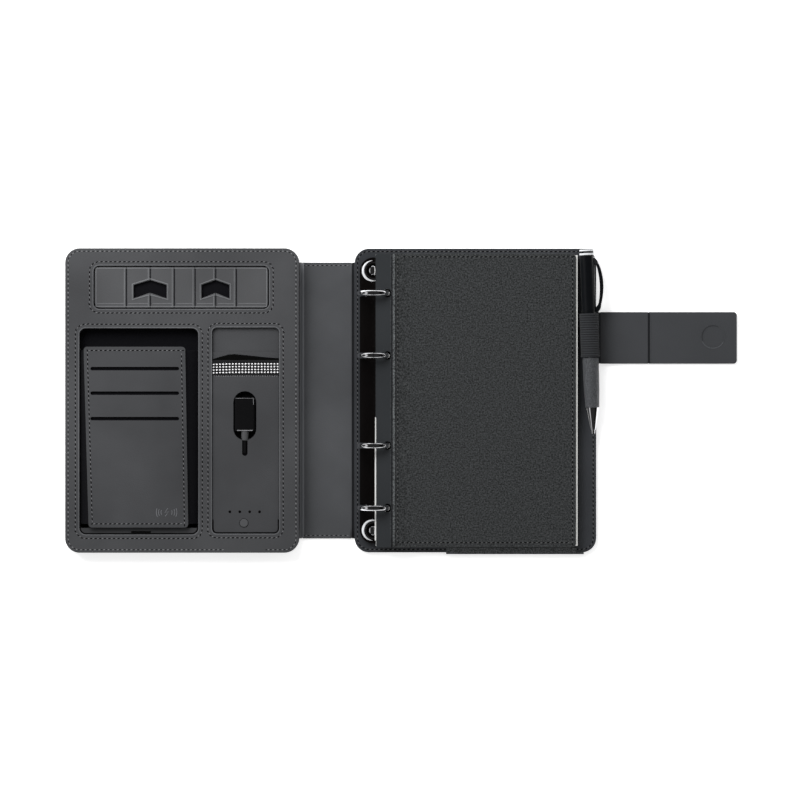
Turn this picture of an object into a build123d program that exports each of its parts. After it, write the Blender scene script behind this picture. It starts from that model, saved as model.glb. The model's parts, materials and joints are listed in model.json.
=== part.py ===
# A zip-free leather organizer lying open: a thick front cover with a built-in charger, a thin spine
# and a back cover with a ring binder, a notebook, a pen and a closing strap. Millimetres.
# +X runs across the open covers to the strap, +Y up the page, +Z up from the table.
# The origin is the middle of the spine's underside.
from build123d import *
import math
import os

# Leather, boards and running clearances
SKIN = 0.8
BOARD = 2.0
FACE = 1.0
CLEAR = 0.3
TOUCH_GAP = 0.2

# Covers and spine
COVER_HEIGHT = 220.0
COVER_CORNER = 10.5
LEFT_WIDTH = 169.0
RIGHT_WIDTH = 175.0
SPINE_HEIGHT = 200.0
CREASE_SPAN = 36.0
CREASE_FLAP = 2.0
SPINE_SKIN = 0.7
CORE = 8.7
RIGHT_BOARD = 2.4

# Levels in the thick left cover
BOARD_LOW = SKIN
CORE_LOW = BOARD_LOW + BOARD
CORE_TOP = CORE_LOW + CORE
LEFT_TOP = CORE_TOP + FACE

# Levels and edges of the right cover
LINING_LOW = SKIN + RIGHT_BOARD
RIGHT_TOP = LINING_LOW + SKIN
CREASE_X = CREASE_SPAN / 2
RIGHT_EDGE = CREASE_X + CREASE_FLAP + RIGHT_WIDTH
LEFT_EDGE = -(CREASE_X + CREASE_FLAP + LEFT_WIDTH)
INNER_EDGE = CREASE_X + CREASE_FLAP
LEFT_MIDDLE = (LEFT_EDGE - INNER_EDGE) / 2
RIGHT_MIDDLE = (RIGHT_EDGE + INNER_EDGE) / 2

# Windows in the left cover: middle x, middle y, width, height, corner radius
STAND_WINDOW = (-105.0, 81.7, 126.6, 31.0, 4.0)
PHONE_WINDOW = (-135.7, -22.3, 85.7, 148.7, 4.5)
BANK_WINDOW = (-58.6, -21.8, 48.3, 148.7, 3.5)

# Folding phone stand
STAND_STRIP = 2.2
STAND_BAY_FLOOR = 0.6
STAND_BAY_DEPTH = 3.3
STAND_MARGIN = 0.7
STAND_FOLD_START = -144.9
LARGE_LEAF = 17.3
STAND_MIDDLE_LEAF = 15.0
SMALL_LEAF = 14.9
CHEVRON_RISE = 3.5
CHEVRON_SIDE = 9.6
CHEVRON_BASE = 73.8
LARGE_CHEVRON = 23.7
SMALL_CHEVRON = 20.0
CHEVRON_ARM = 9.0

# Phone pocket and wireless charger
CARRIER = 1.4
FLOOR_LINING = 0.6
FERRITE = 0.6
COIL_OUTER_R = 24.0
COIL_INNER_R = 11.0
FERRITE_R = 26.0
CHARGER_Y = -20.0
PHONE_SPACE = 8.5
CARD_LINING = 0.7
CARD_SLEEVE = 0.5
PANEL = 1.1
PANEL_TOP_LEFT = (-175.4, 38.8)
PANEL_TOP_RIGHT = (-102.1, 38.8)
PANEL_BOTTOM_RIGHT = (-99.9, -91.7)
PANEL_BOTTOM_LEFT = (-171.8, -91.7)
PANEL_CORNER = 2.5
CARD_SLOT_Y = (23.0, 5.3, -13.1)
CARD_SLOT_MIDDLE = -138.5
CARD_SLOT_LENGTH = 64.0
CARD_SLOT_HEIGHT = 2.5
SLEEVE_MARGIN = 1.5
GUSSET = 0.8
BASE_STRIP = 4.4
BASE_SLOT_MIDDLE = -134.2
BASE_SLOT_LENGTH = 14.7
BASE_SLOT_HEIGHT = 1.3
BASE_SLOT_DEPTH = 1.5

# Power bank, its pocket and its captive charging lead
BANK_WALL = 1.0
BANK_HEIGHT = 7.4
BANK_BASE = 3.2
BANK_MARGIN = 1.6
BANK_TOP_Y = 28.0
BANK_CORNER = 4.0
POCKET_LEATHER = 1.0
BAND_LEATHER = 1.2
BAND_TOP_Y = 29.2
BAND_HEIGHT = 11.6
FLOOR_LEATHER_LOW_Y = 33.1
FLOOR_LEATHER = 0.9
KEYHOLE_X = -59.2
KEYHOLE_WIDTH = 16.6
KEYHOLE_TOP = 6.7
KEYHOLE_LOW = -28.6
KEYHOLE_SLOT = 3.9
KEYHOLE_SLOT_END = -40.0
PLUG_WIDTH = 14.7
PLUG_THICK = 5.4
PLUG_TOP_Y = 2.0
PLUG_LOW_Y = -22.1
PLUG_MOUTH_WIDTH = 8.3
PLUG_MOUTH_THICK = 2.4
PLUG_MOUTH_DEPTH = 6.0
PLUG_ROOM = 3.6
RELIEF_LENGTH = 7.0
RELIEF_WIDE_R = 2.4
LEAD_R = 1.5
WELL_FLOOR = 1.2
LED_X = (-70.0, -62.85, -55.7, -48.55)
LED_Y = -80.4
LED_R = 1.0
BUTTON_X = -59.9
BUTTON_Y = -88.5
BUTTON_R = 3.0
BUTTON_STEM_R = 1.7
BUTTON_HEAD = 0.9
BUTTON_EDGE = 0.25
BUTTON_TRAVEL = 0.6
CIRCUIT_THICK = 1.0
CELL_GAP = 0.1
USB_WIDE = 12.0
USB_HIGH = 5.0
USB_SMALL_WIDE = 8.9
USB_SMALL_HIGH = 3.2
USB_DEPTH = 9.0
PORT_WALL = 0.4
PORT_NOTCH_WIDTH = 31.0
PORT_NOTCH_MIDDLE = -59.2
USB_PLACE = -9.4
USB_SMALL_PLACE = 7.7

# Ring binder
RING_X = 33.8
RING_YS = (-77.5, -32.5, 32.5, 77.5)
RING_R = 10.4
WIRE_R = 1.6
WIRE_SIDES = 10
RING_Z = 12.4
PLATE_WIDTH = 20.0
PLATE_LENGTH = 207.0
PLATE_SHOULDER = 2.0
PLATE_ARCH = 1.6
PLATE_WALL = 0.8
RIVET_Y = 94.0
RIVET_SHANK_R = 2.0
RIVET_DOME_R = 4.0
RIVET_DOME_RISE = 1.0
RIM_OUTER_R = 6.8
RIM_INNER_R = 4.8
RIM_RISE = 0.8
RAIL_THICK = 0.7
RAIL_PIVOT_Z = 5.7
RAIL_HALF = 6.2
RAIL_LENGTH = 172.0
RAIL_TAB = 4.0
NOTCH_WIDTH = 4.8

# Notebook on the rings
SHEET_LEFT = 35.5
SHEET_RIGHT = 181.2
SHEET_MARGIN = 5.0
SHEET_HEIGHT = COVER_HEIGHT - 2 * SHEET_MARGIN
NOTEBOOK_CREASE = 48.0
NOTEBOOK_BEND = 60.0
NOTEBOOK_HINGE_Z = 9.0
NOTEBOOK_FLAT_Z = 4.3
NOTEBOOK_CORNER = 2.8
BACK_BOARD = 0.8
LOWER_LEAVES = 2.4
UPPER_LEAVES = 2.4
NOTEBOOK_COVER = 0.9
COVER_OVERHANG = 1.0
PAGE_SHOW = 1.2
PAGE_HOLE_R = 3.0
PAGE_HOLE_INSET = 0.3

# Closing strap
STRAP_WIDTH = 37.5
STRAP_Y = 45.35
STRAP_THICK = 2.4
STRAP_HINGE_X = 197.6
STRAP_FOLD_X = 233.0
STRAP_END_X = 297.0
STRAP_CORNER = 2.5
ANCHOR_THICK = 0.8
ANCHOR_LENGTH = 35.0
MAGNET_X = 279.6
MAGNET_Y = 46.3
MAGNET_R = 7.2
MAGNET_THICK = 1.2
COVER_MAGNET_THICK = 1.9

# Raised wrap on the right cover's lower edge
WRAP_START_X = 86.3
WRAP_END_X = 186.0
WRAP_THICK = 1.3
WRAP_LIP = 3.4
WRAP_LIP_THICK = 0.6

# Pen and its elastic loop
PEN_TIP_X = 192.6
PEN_TIP_Y = -23.9
PEN_TOP_X = 187.6
PEN_LENGTH = 133.5
PEN_GRIP_START = 18.8
PEN_GRIP_END = 55.2
PEN_GRIP_LOW_R = 4.95
PEN_GRIP_R = 5.85
PEN_GRIP_WAIST = 32.0
PEN_GRIP_WAIST_R = 5.6
PEN_GRIP_FULL = 44.0
PEN_BARREL_R = 5.2
PEN_FINIAL_LENGTH = 4.5
PEN_NOSE_TIP_R = 1.3
PEN_NOSE_R = 4.7
PEN_BORE_R = 1.8
REFILL_R = 1.5
REFILL_TIP_R = 0.6
REFILL_LENGTH = 98.0
REFILL_RETRACT = 1.0
CLIP_WIDTH = 3.6
CLIP_THICK = 1.1
CLIP_START = 127.5
CLIP_BOW = 11.3
CLIP_BOW_AT = 108.5
CLIP_END = 87.4
CLIP_END_OFFSET = 6.7
LOOP_WALL = 0.8
LOOP_LOW_Y = 31.5
LOOP_HIGH_Y = 62.9
LOOP_BASE_WIDTH = 9.0

PEN_TILT = math.asin((PEN_TIP_X - PEN_TOP_X) / PEN_LENGTH)
LOOP_INNER_R = PEN_GRIP_R + CLEAR
LOOP_OUTER_R = LOOP_INNER_R + LOOP_WALL
PEN_Z = RIGHT_TOP + LOOP_OUTER_R

os.makedirs("parts", exist_ok=True)


# Plain shapes

def slab(x0, x1, y0, y1, z0, z1):
    """A block between three pairs of limits."""
    block = Box(x1 - x0, y1 - y0, z1 - z0)
    return Pos((x0 + x1) / 2, (y0 + y1) / 2, (z0 + z1) / 2) * block


def pad(x, y, width, height, radius, z0, z1):
    """A plate with rounded corners, round a middle point."""
    outline = RectangleRounded(width, height, radius)
    return Pos(x, y, z0) * extrude(outline, z1 - z0)


def disc(x, y, radius, z0, z1):
    """A round plate or pin standing along Z."""
    return Pos(x, y, (z0 + z1) / 2) * Cylinder(radius, z1 - z0)


def prism(points, z0, z1):
    """A straight-sided outline raised from z0 to z1."""
    return Pos(0, 0, z0) * extrude(make_face(Polyline(*points, close=True)), z1 - z0)


def profile_along_y(points, y0, y1):
    """An outline in X and Z drawn out along Y."""
    face = make_face(Polyline(*[(x, 0, z) for x, z in points], close=True))
    return Pos(0, y0, 0) * extrude(face, y1 - y0, dir=(0, 1, 0))


def window(spec, z0, z1, inset=0.0):
    """A window's plate, smaller all round by inset."""
    x, y, width, height, radius = spec
    return pad(x, y, width - 2 * inset, height - 2 * inset, radius, z0, z1)


def window_edge(spec, side):
    """The x or y of one side of a window."""
    x, y, width, height, radius = spec
    places = {"left": x - width / 2, "right": x + width / 2, "low": y - height / 2, "high": y + height / 2}
    return places[side]


def save(name, shape):
    """Write one node."""
    export_step(Compound(shape.solids()) if len(shape.solids()) > 1 else shape.solids()[0], f"parts/{name}.step")


# Left cover shell

def left_plate(z0, z1, inset=0.0):
    """The left cover's outline between two levels."""
    width = LEFT_WIDTH - 2 * inset
    height = COVER_HEIGHT - 2 * inset
    return pad(LEFT_MIDDLE, 0, width, height, COVER_CORNER - inset, z0, z1)


def port_notch(z0, z1):
    """The way through the cover's lower edge to the charging ports."""
    half = PORT_NOTCH_WIDTH / 2
    low = -COVER_HEIGHT / 2 - 1
    high = window_edge(BANK_WINDOW, "low") + 1
    return slab(PORT_NOTCH_MIDDLE - half, PORT_NOTCH_MIDDLE + half, low, high, z0, z1)


def left_outer_skin():
    flap = slab(-INNER_EDGE - 1, -CREASE_X - CLEAR, -SPINE_HEIGHT / 2, SPINE_HEIGHT / 2, 0, SPINE_SKIN)
    plate = left_plate(0, SKIN)
    rim = plate.edges().filter_by_position(Axis.Z, -0.01, 0.01)
    return chamfer(rim, SKIN / 2) + flap


def left_edge_band():
    wall = left_plate(BOARD_LOW, CORE_TOP) - left_plate(BOARD_LOW - 1, CORE_TOP + 1, SKIN)
    return wall - port_notch(NOTCH_LOW, NOTCH_HIGH)


def left_back_board():
    board = left_plate(BOARD_LOW, CORE_LOW, SKIN + TOUCH_GAP)
    return board - disc(-COVER_MAGNET_X, MAGNET_Y, MAGNET_R + TOUCH_GAP, BOARD_LOW - 1, CORE_LOW + 1)


def cover_magnet():
    return disc(-COVER_MAGNET_X, MAGNET_Y, MAGNET_R, BOARD_LOW, BOARD_LOW + COVER_MAGNET_THICK)


def left_core_frame():
    core = left_plate(CORE_LOW, CORE_TOP, SKIN)
    core -= window(PHONE_WINDOW, CORE_LOW - 1, CORE_TOP + 1)
    core -= window(STAND_WINDOW, STAND_FLOOR_LOW, CORE_TOP + 1)
    core -= window(BANK_WINDOW, FLOOR_LEATHER_LOW_Z, CORE_TOP + 1)
    core -= bank_bay()
    return core - port_notch(NOTCH_LOW, NOTCH_HIGH)


def bank_bay():
    """The part of the bank window that goes down to the board."""
    low = window_edge(BANK_WINDOW, "low")
    bay = window(BANK_WINDOW, CORE_LOW - 1, CORE_TOP + 1)
    keep = slab(LEFT_EDGE, 0, low - 1, BANK_TOP_Y + CLEAR, CORE_LOW - 2, CORE_TOP + 2)
    return bay & keep


def left_face_leather():
    face = left_plate(CORE_TOP, LEFT_TOP)
    for spec in (STAND_WINDOW, PHONE_WINDOW, BANK_WINDOW):
        face -= window(spec, CORE_TOP - 1, LEFT_TOP + 1)
    rim = face.edges().filter_by_position(Axis.Z, LEFT_TOP - 0.01, LEFT_TOP + 0.01)
    return chamfer(rim, FACE * 0.35)


# Phone pocket and charger

def coil_carrier():
    plate = window(PHONE_WINDOW, CORE_LOW, CARRIER_TOP, TOUCH_GAP)
    return plate - disc(CHARGER_X, CHARGER_Y, FERRITE_R + TOUCH_GAP, CORE_LOW - 1, CARRIER_TOP + 1)


def ferrite_shield():
    return disc(CHARGER_X, CHARGER_Y, FERRITE_R, CORE_LOW, CORE_LOW + FERRITE)


def wireless_coil():
    ring = disc(CHARGER_X, CHARGER_Y, COIL_OUTER_R, CORE_LOW + FERRITE, CARRIER_TOP)
    return ring - disc(CHARGER_X, CHARGER_Y, COIL_INNER_R, CORE_LOW, CARRIER_TOP + 1)


def phone_floor_lining():
    return window(PHONE_WINDOW, CARRIER_TOP, POCKET_FLOOR, TOUCH_GAP)


def panel_plate(z0, z1, inset=0.0):
    """The pocket panel's tapered outline between two levels."""
    corners = (PANEL_TOP_LEFT, PANEL_TOP_RIGHT, PANEL_BOTTOM_RIGHT, PANEL_BOTTOM_LEFT)
    outline = make_face(Polyline(*corners, close=True))
    outline = fillet(outline.vertices(), PANEL_CORNER)
    if inset:
        outline = offset(outline, -inset)
    return Pos(0, 0, z0) * extrude(outline, z1 - z0)


def card_slot(y, z0, z1):
    """One round-ended slot across the pocket panel."""
    outline = SlotOverall(CARD_SLOT_LENGTH, CARD_SLOT_HEIGHT)
    return Pos(CARD_SLOT_MIDDLE, y, z0) * extrude(outline, z1 - z0)


def pocket_panel():
    panel = panel_plate(PANEL_LOW, PANEL_TOP)
    for y in CARD_SLOT_Y:
        panel -= card_slot(y, PANEL_LOW - 1, PANEL_TOP + 1)
    return panel


def card_sleeves():
    """The pocket panel's back lining and the three sleeves sewn on it."""
    low = CARD_LINING_LOW + CARD_LINING
    lining = panel_plate(CARD_LINING_LOW, low, SLEEVE_MARGIN)
    floor = PANEL_BOTTOM_LEFT[1] + 2 * SLEEVE_MARGIN
    ends = CARD_SLOT_Y[1:] + (floor,)
    half = CARD_SLOT_LENGTH / 2
    sleeves = []
    for top, end in zip(CARD_SLOT_Y, ends):
        bottom = end + CARD_SLOT_HEIGHT if end != floor else end
        sleeves.append(slab(CARD_SLOT_MIDDLE - half, CARD_SLOT_MIDDLE + half, bottom, top - CARD_SLOT_HEIGHT,
                            low, low + CARD_SLEEVE))
    return Compound(children=[lining.solid()] + [sleeve.solid() for sleeve in sleeves])


def gusset_section(wall_x, panel_x, inward, y):
    """The side strip's outline where it runs from the pocket's floor up to the panel's edge."""
    knee = POCKET_FLOOR + PHONE_SPACE / 2
    outer = wall_x + inward * CLEAR
    inner = outer + inward * GUSSET
    seam = panel_x + inward * TOUCH_GAP
    points = ((outer, POCKET_FLOOR), (outer, knee), (seam, PANEL_LOW), (seam + inward * GUSSET, PANEL_LOW),
              (seam + inward * GUSSET, PANEL_LOW - GUSSET), (inner, knee - GUSSET), (inner, POCKET_FLOOR))
    return make_face(Polyline(*[(x, y, z) for x, z in points], close=True))


def gusset(wall_x, low_corner, high_corner, inward):
    """A pleated side strip that follows the panel's slanting edge."""
    low = low_corner[1] + PANEL_CORNER
    high = high_corner[1] - PANEL_CORNER
    sections = [gusset_section(wall_x, low_corner[0], inward, low),
                gusset_section(wall_x, high_corner[0], inward, high)]
    return loft(sections, ruled=True)


def pocket_gussets():
    left = gusset(window_edge(PHONE_WINDOW, "left"), PANEL_BOTTOM_LEFT, PANEL_TOP_LEFT, 1)
    right = gusset(window_edge(PHONE_WINDOW, "right"), PANEL_BOTTOM_RIGHT, PANEL_TOP_RIGHT, -1)
    return Compound(children=[left.solid(), right.solid()])


def pocket_base_strip():
    low = window_edge(PHONE_WINDOW, "low") + TOUCH_GAP
    left = window_edge(PHONE_WINDOW, "left") + PHONE_WINDOW[4]
    right = window_edge(PHONE_WINDOW, "right") - PHONE_WINDOW[4]
    strip = slab(left, right, low, low + BASE_STRIP, POCKET_FLOOR, LEFT_TOP - TOUCH_GAP)
    slot = extrude(SlotOverall(BASE_SLOT_LENGTH, BASE_SLOT_HEIGHT), BASE_SLOT_DEPTH + 1)
    middle = low + BASE_STRIP / 3
    return strip - Pos(BASE_SLOT_MIDDLE, middle, LEFT_TOP - TOUCH_GAP - BASE_SLOT_DEPTH) * slot


# Folding phone stand

def stand_bay_lining():
    return window(STAND_WINDOW, STAND_FLOOR_LOW, STAND_FLOOR_LOW + STAND_BAY_FLOOR, TOUCH_GAP)


def chevron(x, width):
    """An arrow-shaped cut-out whose point looks up the page."""
    half = width / 2
    low = CHEVRON_BASE
    high = low + CHEVRON_SIDE
    notch = high + CHEVRON_RISE - CHEVRON_ARM
    points = ((x - half, low), (x - half, high), (x, high + CHEVRON_RISE), (x + half, high),
              (x + half, low), (x, notch))
    return prism(points, STAND_LOW - 1, STAND_TOP + 1)


def stand_folds():
    """The x of every fold of the stand, from left to right."""
    places = [STAND_FOLD_START]
    for step in (LARGE_LEAF, LARGE_LEAF, STAND_MIDDLE_LEAF, SMALL_LEAF, SMALL_LEAF):
        places.append(places[-1] + step)
    return places


def stand_pieces():
    """The strip's seven lengths, each from one fold to the next."""
    folds = stand_folds()
    strip = window(STAND_WINDOW, STAND_LOW, STAND_TOP, STAND_MARGIN)
    strip -= chevron(folds[1], LARGE_CHEVRON)
    strip -= chevron(folds[4], SMALL_CHEVRON)
    half_gap = TOUCH_GAP / 2
    edges = [LEFT_EDGE] + folds + [0]
    names = ("stand_end_left", "stand_leaf_1", "stand_leaf_2", "stand_middle", "stand_leaf_3", "stand_leaf_4",
             "stand_end_right")
    pieces = {}
    for name, start, end in zip(names, edges[:-1], edges[1:]):
        cut = slab(start + half_gap, end - half_gap, 0, COVER_HEIGHT / 2, STAND_LOW - 1, STAND_TOP + 1)
        pieces[name] = strip & cut
    return pieces


# Power bank and its pocket

def bank_plate(z0, z1, inset=0.0):
    """The power bank's outline between two levels."""
    low = window_edge(BANK_WINDOW, "low") + TOUCH_GAP
    width = BANK_WINDOW[2] - 2 * (BANK_MARGIN + inset)
    height = BANK_TOP_Y - low - 2 * inset
    return pad(BANK_WINDOW[0], (BANK_TOP_Y + low) / 2, width, height, BANK_CORNER - inset, z0, z1)


def port_openings():
    """The two mouths in the power bank's lower wall."""
    low = window_edge(BANK_WINDOW, "low")
    mouths = []
    for x, wide, high in PORTS:
        middle = PORT_Z
        mouths.append(slab(x - wide / 2, x + wide / 2, low - 1, low + 3 * BANK_WALL, middle - high / 2,
                           middle + high / 2))
    return mouths


def power_bank_base():
    shell = bank_plate(CORE_LOW, BANK_SPLIT) - bank_plate(CORE_LOW + BANK_WALL, BANK_SPLIT + 1, BANK_WALL)
    for mouth in port_openings():
        shell -= mouth
    return shell


def plug_well(z0, z1, grow=0.0):
    """The keyhole-shaped well that holds the plug and its lead."""
    half = PLUG_WIDTH / 2 + CLEAR + grow
    top = PLUG_TOP_Y + PLUG_ROOM + CLEAR + grow
    low = PLUG_LOW_Y - RELIEF_LENGTH - grow
    well = slab(KEYHOLE_X - half, KEYHOLE_X + half, low, top, z0, z1)
    half_slot = LEAD_R + CLEAR + grow
    return well + slab(KEYHOLE_X - half_slot, KEYHOLE_X + half_slot, LEAD_END - grow, low + 1, z0, z1)


def power_bank_top():
    shell = bank_plate(BANK_SPLIT, BANK_TOP) - bank_plate(BANK_SPLIT - 1, BANK_TOP - BANK_WALL, BANK_WALL)
    shell += plug_well(PLUG_LOW - WELL_FLOOR, BANK_TOP, BANK_WALL) & bank_plate(BANK_SPLIT, BANK_TOP)
    shell -= plug_well(PLUG_LOW, BANK_TOP + 1)
    shell -= disc(BUTTON_X, BUTTON_Y, BUTTON_STEM_R + CLEAR, BANK_SPLIT, BANK_TOP + 1)
    for x in LED_X:
        shell -= disc(x, LED_Y, LED_R, BANK_SPLIT, BANK_TOP + 1)
    for mouth in port_openings():
        shell -= mouth
    return shell


def battery_cells():
    """A tall cell below the well and a thin one under it."""
    x = BANK_WINDOW[0]
    wide = BANK_WINDOW[2] - 2 * (BANK_MARGIN + BANK_WALL) - 2
    tall_high = BANK_TOP - BANK_WALL - CELL_GAP
    tall = pad(x, (CELL_LOW_Y + CELL_SPLIT_Y) / 2, wide, CELL_SPLIT_Y - CELL_LOW_Y - 1, 1.5,
               CORE_LOW + BANK_WALL, tall_high)
    thin_high = PLUG_LOW - WELL_FLOOR - CELL_GAP
    top = BANK_TOP_Y - BANK_WALL - 1
    thin = pad(x, (CELL_SPLIT_Y + top) / 2, wide, top - CELL_SPLIT_Y - 1, 1.5, CORE_LOW + BANK_WALL, thin_high)
    return Compound(children=[tall.solid(), thin.solid()])


def circuit_board():
    low = window_edge(BANK_WINDOW, "low") + BANK_WALL + 1
    half = BANK_WINDOW[2] / 2 - BANK_MARGIN - BANK_WALL - 1
    x = BANK_WINDOW[0]
    board = slab(x - half, x + half, low, CELL_LOW_Y - 1, CIRCUIT_LOW, CIRCUIT_LOW + CIRCUIT_THICK)
    for place, wide, high in PORTS:
        board -= slab(place - wide / 2 - CLEAR, place + wide / 2 + CLEAR, low - 1, low + USB_DEPTH, 0, LEFT_TOP)
    switch_top = SWITCH_TOP
    switch = slab(BUTTON_X - 2, BUTTON_X + 2, BUTTON_Y - 2, BUTTON_Y + 2, CIRCUIT_LOW, switch_top)
    feet = [slab(x + side * (half - 4) - 1.5, x + side * (half - 4) + 1.5, CELL_LOW_Y - 5, CELL_LOW_Y - 2,
                 CORE_LOW + BANK_WALL, CIRCUIT_LOW) for side in (-1, 1)]
    return board + switch + feet[0] + feet[1]


def charging_ports():
    """A wide and a narrow socket, each a bent metal shell with a tongue."""
    low = window_edge(BANK_WINDOW, "low") + BANK_WALL
    sockets = []
    for x, wide, high in PORTS:
        wide -= 2 * TOUCH_GAP
        high -= 2 * TOUCH_GAP
        outer = slab(x - wide / 2, x + wide / 2, low, low + USB_DEPTH, PORT_Z - high / 2, PORT_Z + high / 2)
        inner = slab(x - wide / 2 + PORT_WALL, x + wide / 2 - PORT_WALL, low - 1, low + USB_DEPTH - 1,
                     PORT_Z - high / 2 + PORT_WALL, PORT_Z + high / 2 - PORT_WALL)
        tongue = slab(x - wide / 4, x + wide / 4, low + 1, low + USB_DEPTH - PORT_WALL, PORT_Z - PORT_WALL,
                      PORT_Z + PORT_WALL)
        sockets.append((outer - inner + tongue).solid())
    return Compound(children=sockets)


def led_light_pipes():
    low = BANK_TOP - BANK_WALL
    pipes = [disc(x, LED_Y, LED_R - 0.05, low, POCKET_TOP - TOUCH_GAP) for x in LED_X]
    return Compound(children=[pipe.solid() for pipe in pipes])


def power_button():
    head_low = POCKET_TOP + BUTTON_TRAVEL - BUTTON_HEAD
    head = disc(BUTTON_X, BUTTON_Y, BUTTON_R, head_low, head_low + BUTTON_HEAD)
    top = head.edges().filter_by_position(Axis.Z, head_low + BUTTON_HEAD - 0.01, head_low + BUTTON_HEAD + 0.01)
    stem = disc(BUTTON_X, BUTTON_Y, BUTTON_STEM_R, SWITCH_TOP + BUTTON_TRAVEL + 0.1, head_low + 0.1)
    return chamfer(top, BUTTON_EDGE) + stem


def keyhole(z0, z1):
    """A round-ended hole with a narrow slot below it."""
    length = KEYHOLE_TOP - KEYHOLE_LOW
    hole = Rot(0, 0, 90) * SlotOverall(length, KEYHOLE_WIDTH)
    hole = Pos(KEYHOLE_X, (KEYHOLE_TOP + KEYHOLE_LOW) / 2, z0) * extrude(hole, z1 - z0)
    reach = KEYHOLE_LOW + KEYHOLE_WIDTH / 2 - KEYHOLE_SLOT_END
    slot = Rot(0, 0, 90) * SlotOverall(reach + KEYHOLE_SLOT, KEYHOLE_SLOT)
    slot_middle = KEYHOLE_SLOT_END + (reach + KEYHOLE_SLOT) / 2
    return hole + Pos(KEYHOLE_X, slot_middle, z0) * extrude(slot, z1 - z0)


def bank_pocket_front():
    band_low = BAND_TOP_Y - BAND_HEIGHT
    leather = window(BANK_WINDOW, BANK_TOP, POCKET_TOP, TOUCH_GAP)
    leather &= slab(LEFT_EDGE, 0, -COVER_HEIGHT, band_low, 0, LEFT_TOP)
    leather -= keyhole(BANK_TOP - 1, POCKET_TOP + 1)
    leather -= disc(BUTTON_X, BUTTON_Y, BUTTON_R + CLEAR, BANK_TOP - 1, POCKET_TOP + 1)
    for x in LED_X:
        leather -= disc(x, LED_Y, LED_R, BANK_TOP - 1, POCKET_TOP + 1)
    return leather


def pocket_elastic_band():
    half = BANK_WINDOW[2] / 2 - TOUCH_GAP
    x = BANK_WINDOW[0]
    return slab(x - half, x + half, BAND_TOP_Y - BAND_HEIGHT, BAND_TOP_Y, BANK_TOP, BANK_TOP + BAND_LEATHER)


def bank_floor_leather():
    leather = window(BANK_WINDOW, FLOOR_LEATHER_LOW_Z, FLOOR_LEATHER_LOW_Z + FLOOR_LEATHER, TOUCH_GAP)
    return leather & slab(LEFT_EDGE, 0, FLOOR_LEATHER_LOW_Y, COVER_HEIGHT, 0, LEFT_TOP)


def charging_plug():
    body = slab(KEYHOLE_X - PLUG_WIDTH / 2, KEYHOLE_X + PLUG_WIDTH / 2, PLUG_LOW_Y, PLUG_TOP_Y, PLUG_LOW,
                PLUG_LOW + PLUG_THICK)
    body = fillet(body.edges().filter_by(Axis.Y), PLUG_THICK * 0.3)
    mouth_low = PLUG_LOW + (PLUG_THICK - PLUG_MOUTH_THICK) / 2
    mouth = slab(KEYHOLE_X - PLUG_MOUTH_WIDTH / 2, KEYHOLE_X + PLUG_MOUTH_WIDTH / 2,
                 PLUG_TOP_Y - PLUG_MOUTH_DEPTH, PLUG_TOP_Y + 1, mouth_low, mouth_low + PLUG_MOUTH_THICK)
    relief = Rot(90, 0, 0) * Cone(RELIEF_WIDE_R, LEAD_R, RELIEF_LENGTH)
    relief = Pos(KEYHOLE_X, PLUG_LOW_Y - RELIEF_LENGTH / 2, LEAD_Z) * relief
    return body - mouth + relief


def charging_lead():
    start = PLUG_LOW_Y - RELIEF_LENGTH
    length = start - LEAD_END
    return Pos(KEYHOLE_X, start - length / 2, LEAD_Z) * Rot(90, 0, 0) * Cylinder(LEAD_R, length)


# Spine

def spine_sheet(z0, z1):
    """One of the spine's two leathers."""
    edge = CREASE_X - CLEAR
    return slab(-edge, edge, -SPINE_HEIGHT / 2, SPINE_HEIGHT / 2, z0, z1)


# Right cover shell

def right_plate(z0, z1, inset=0.0):
    """The right cover's outline between two levels."""
    width = RIGHT_WIDTH - 2 * inset
    height = COVER_HEIGHT - 2 * inset
    return pad(RIGHT_MIDDLE, 0, width, height, COVER_CORNER - inset, z0, z1)


def strap_anchor(grow=0.0):
    """The strap's root, sewn in between the skin and the board."""
    half = STRAP_WIDTH / 2 + grow
    return slab(RIGHT_EDGE - ANCHOR_LENGTH - grow, STRAP_HINGE_X - CLEAR, STRAP_Y - half, STRAP_Y + half, SKIN,
                SKIN + ANCHOR_THICK)


def rivet_holes(z0, z1):
    """The two shank holes under the ring mechanism."""
    return [disc(RING_X, side * RIVET_Y, RIVET_SHANK_R, z0, z1) for side in (-1, 1)]


def right_outer_skin():
    tray = right_plate(0, LINING_LOW) - right_plate(SKIN, LINING_LOW + 1, SKIN)
    rim = tray.edges().filter_by_position(Axis.Z, -0.01, 0.01)
    tray = chamfer(rim, SKIN / 2)
    flap = slab(CREASE_X + CLEAR, INNER_EDGE + 1, -SPINE_HEIGHT / 2, SPINE_HEIGHT / 2, 0, SPINE_SKIN)
    return tray + flap - strap_anchor(TOUCH_GAP)


def right_board():
    board = right_plate(SKIN, LINING_LOW, SKIN + TOUCH_GAP) - strap_anchor(TOUCH_GAP)
    for hole in rivet_holes(0, RIGHT_TOP):
        board -= hole
    return board


def right_lining():
    lining = right_plate(LINING_LOW, RIGHT_TOP)
    rim = lining.edges().filter_by_position(Axis.Z, RIGHT_TOP - 0.01, RIGHT_TOP + 0.01)
    lining = chamfer(rim, SKIN * 0.35)
    for hole in rivet_holes(0, RIGHT_TOP + 1):
        lining -= hole
    return lining


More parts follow.
